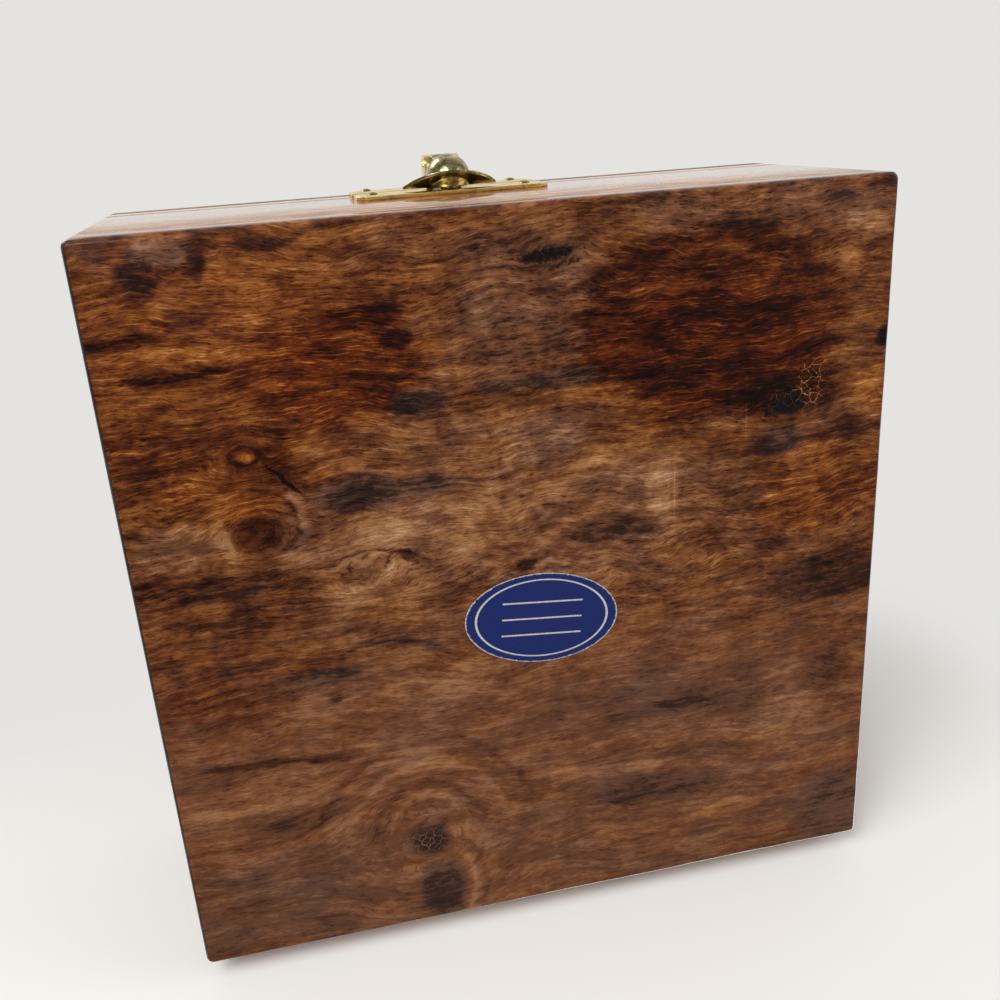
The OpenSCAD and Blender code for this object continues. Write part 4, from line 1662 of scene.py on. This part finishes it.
@dataclass
class Carcass:
    """The body's floor board and mitred walls, and the lid's board and mitred rails."""

    woods: WoodFinishes
    hinge_x_mm: float = 38.0
    leaf_half_mm: float = 11.05
    leaf_deep_mm: float = 6.55
    leaf_thick_mm: float = 0.9

    def boards(self) -> None:
        """Builds the floor board and the lid board."""
        floor = WoodenBoard("rosewood_floor_board", "floor_board", rim_at_top=False,
                            lift_mm=LABEL_PROUD_MM).build()
        dress(floor, self.woods.made["underside"], Body.BODY, "hardwood", "floor_board")
        top = WoodenBoard("rosewood_lid_board", "lid_board", rim_at_top=True).build()
        dress(top, self.woods.made["lid_top"], Body.LID, "hardwood", "lid_board")

    def recess(self, piece: bpy.types.Object, low_z: float, high_z: float) -> None:
        """Sinks both hinge leaves into a back wall or rail.

        Args:
            piece: The wall or rail.
            low_z: Where the recess begins, in millimetres.
            high_z: Where it ends.
        """
        for side in (-1, 1):
            middle = side * self.hinge_x_mm
            cut_block(piece,
                      (middle - self.leaf_half_mm, HALF_MM - self.leaf_deep_mm, low_z),
                      (middle + self.leaf_half_mm, HALF_MM + 1, high_z))

    def frames(self) -> None:
        """Builds the walls and the rails."""
        for side in Side:
            word = side.name.lower()
            wall = MitredSide(f"rosewood_{word}_wall", f"{word}_wall", side).build()
            rail = MitredSide(f"rosewood_lid_{word}_rail", f"lid_{word}_rail", side).build()
            if side is Side.BACK:
                wall_top = corners_mm("back_wall")[1].z
                rail_low = corners_mm("lid_back_rail")[0].z
                self.recess(wall, wall_top - self.leaf_thick_mm, wall_top + 1)
                self.recess(rail, rail_low - 1, rail_low + self.leaf_thick_mm)
            dress(wall, self.woods.made[word], Body.BODY, "hardwood", f"{word}_wall")
            dress(rail, self.woods.made[word], Body.LID, "hardwood", f"lid_{word}_rail")

    def build(self) -> None:
        """Builds all the wood."""
        self.boards()
        self.frames()


@dataclass
class Lining:
    """The velvet-covered cards in the body and the lid."""

    velvet: CottonVelvet = CottonVelvet()

    def build(self) -> None:
        """Builds every card."""
        material = self.velvet.build()
        VelvetCard("velvet_floor_pad", "floor_lining", Body.BODY).build(material)
        for side in Side:
            word = side.name.lower()
            VelvetCard(f"velvet_{word}_strip", f"{word}_lining", Body.BODY, cuts=24).build(material)
        VelvetCard("velvet_lid_pad", "lid_lining", Body.LID).build(material)


@dataclass
class Brassware:
    """The snap latch and the two butt hinges."""

    latch: PolishedBrass = PolishedBrass()
    # The tongue's brass is partly its own tarnish and partly painted reflection: its pale and dark colours
    # copy what the dome mirrors
    tongue: PolishedBrass = PolishedBrass(
        name="tarnish_and_reflection_brass", bright="#d2c698", tarnished="#544a2c", tarnish_from=0.3, tarnish_to=0.6)
    nail: PolishedBrass = PolishedBrass(
        name="browned_brass", bright="#8a7a4e", tarnished="#2e2716", smear_mm=0.8)
    hinge: PolishedBrass = PolishedBrass(
        name="dulled_brass", bright="#b0945c", tarnished="#64502c", least_rough=0.24, most_rough=0.5)

    def build(self) -> None:
        """Builds the brass of the latch and of the hinges."""
        bright = self.latch.build()
        # Tongue brass: partly real tarnish, partly painted reflection
        wear_and_reflection = self.tongue.build()
        brown = self.nail.build()
        dull = self.hinge.build()
        for node, body in (("latch_body_plate", Body.BODY), ("latch_catch_stud", Body.BODY),
                           ("latch_body_nails", Body.BODY), ("latch_lid_plate", Body.LID),
                           ("latch_lid_nails", Body.LID), ("latch_hinge_pin", Body.LID)):
            SoftenedBrass(node, body, "latch_brass").build(brown if "nails" in node else bright)
        StampedTongue().build(wear_and_reflection)
        for side in ("left", "right"):
            for part, body in (("body_leaf", Body.BODY), ("lid_leaf", Body.LID),
                               ("body_screws", Body.BODY), ("lid_screws", Body.LID),
                               ("pin", Body.BODY)):
                SoftenedBrass(f"{side}_hinge_{part}", body, "hinge_brass", arris_mm=0.1).build(dull)


def main() -> None:
    """Builds the camera, the box and the studio in order."""
    logging.basicConfig(level=logging.INFO, format="%(name)s: %(message)s")
    bpy.context.scene.view_settings.view_transform = "Standard"
    PhotoCamera().build()
    woods = WoodFinishes()
    woods.build()
    Carcass(woods).build()
    Lining().build()
    PaperLabel().build(PrintedPaper().build())
    Brassware().build()
    Studio().build()


if __name__ == "__main__":
    main()
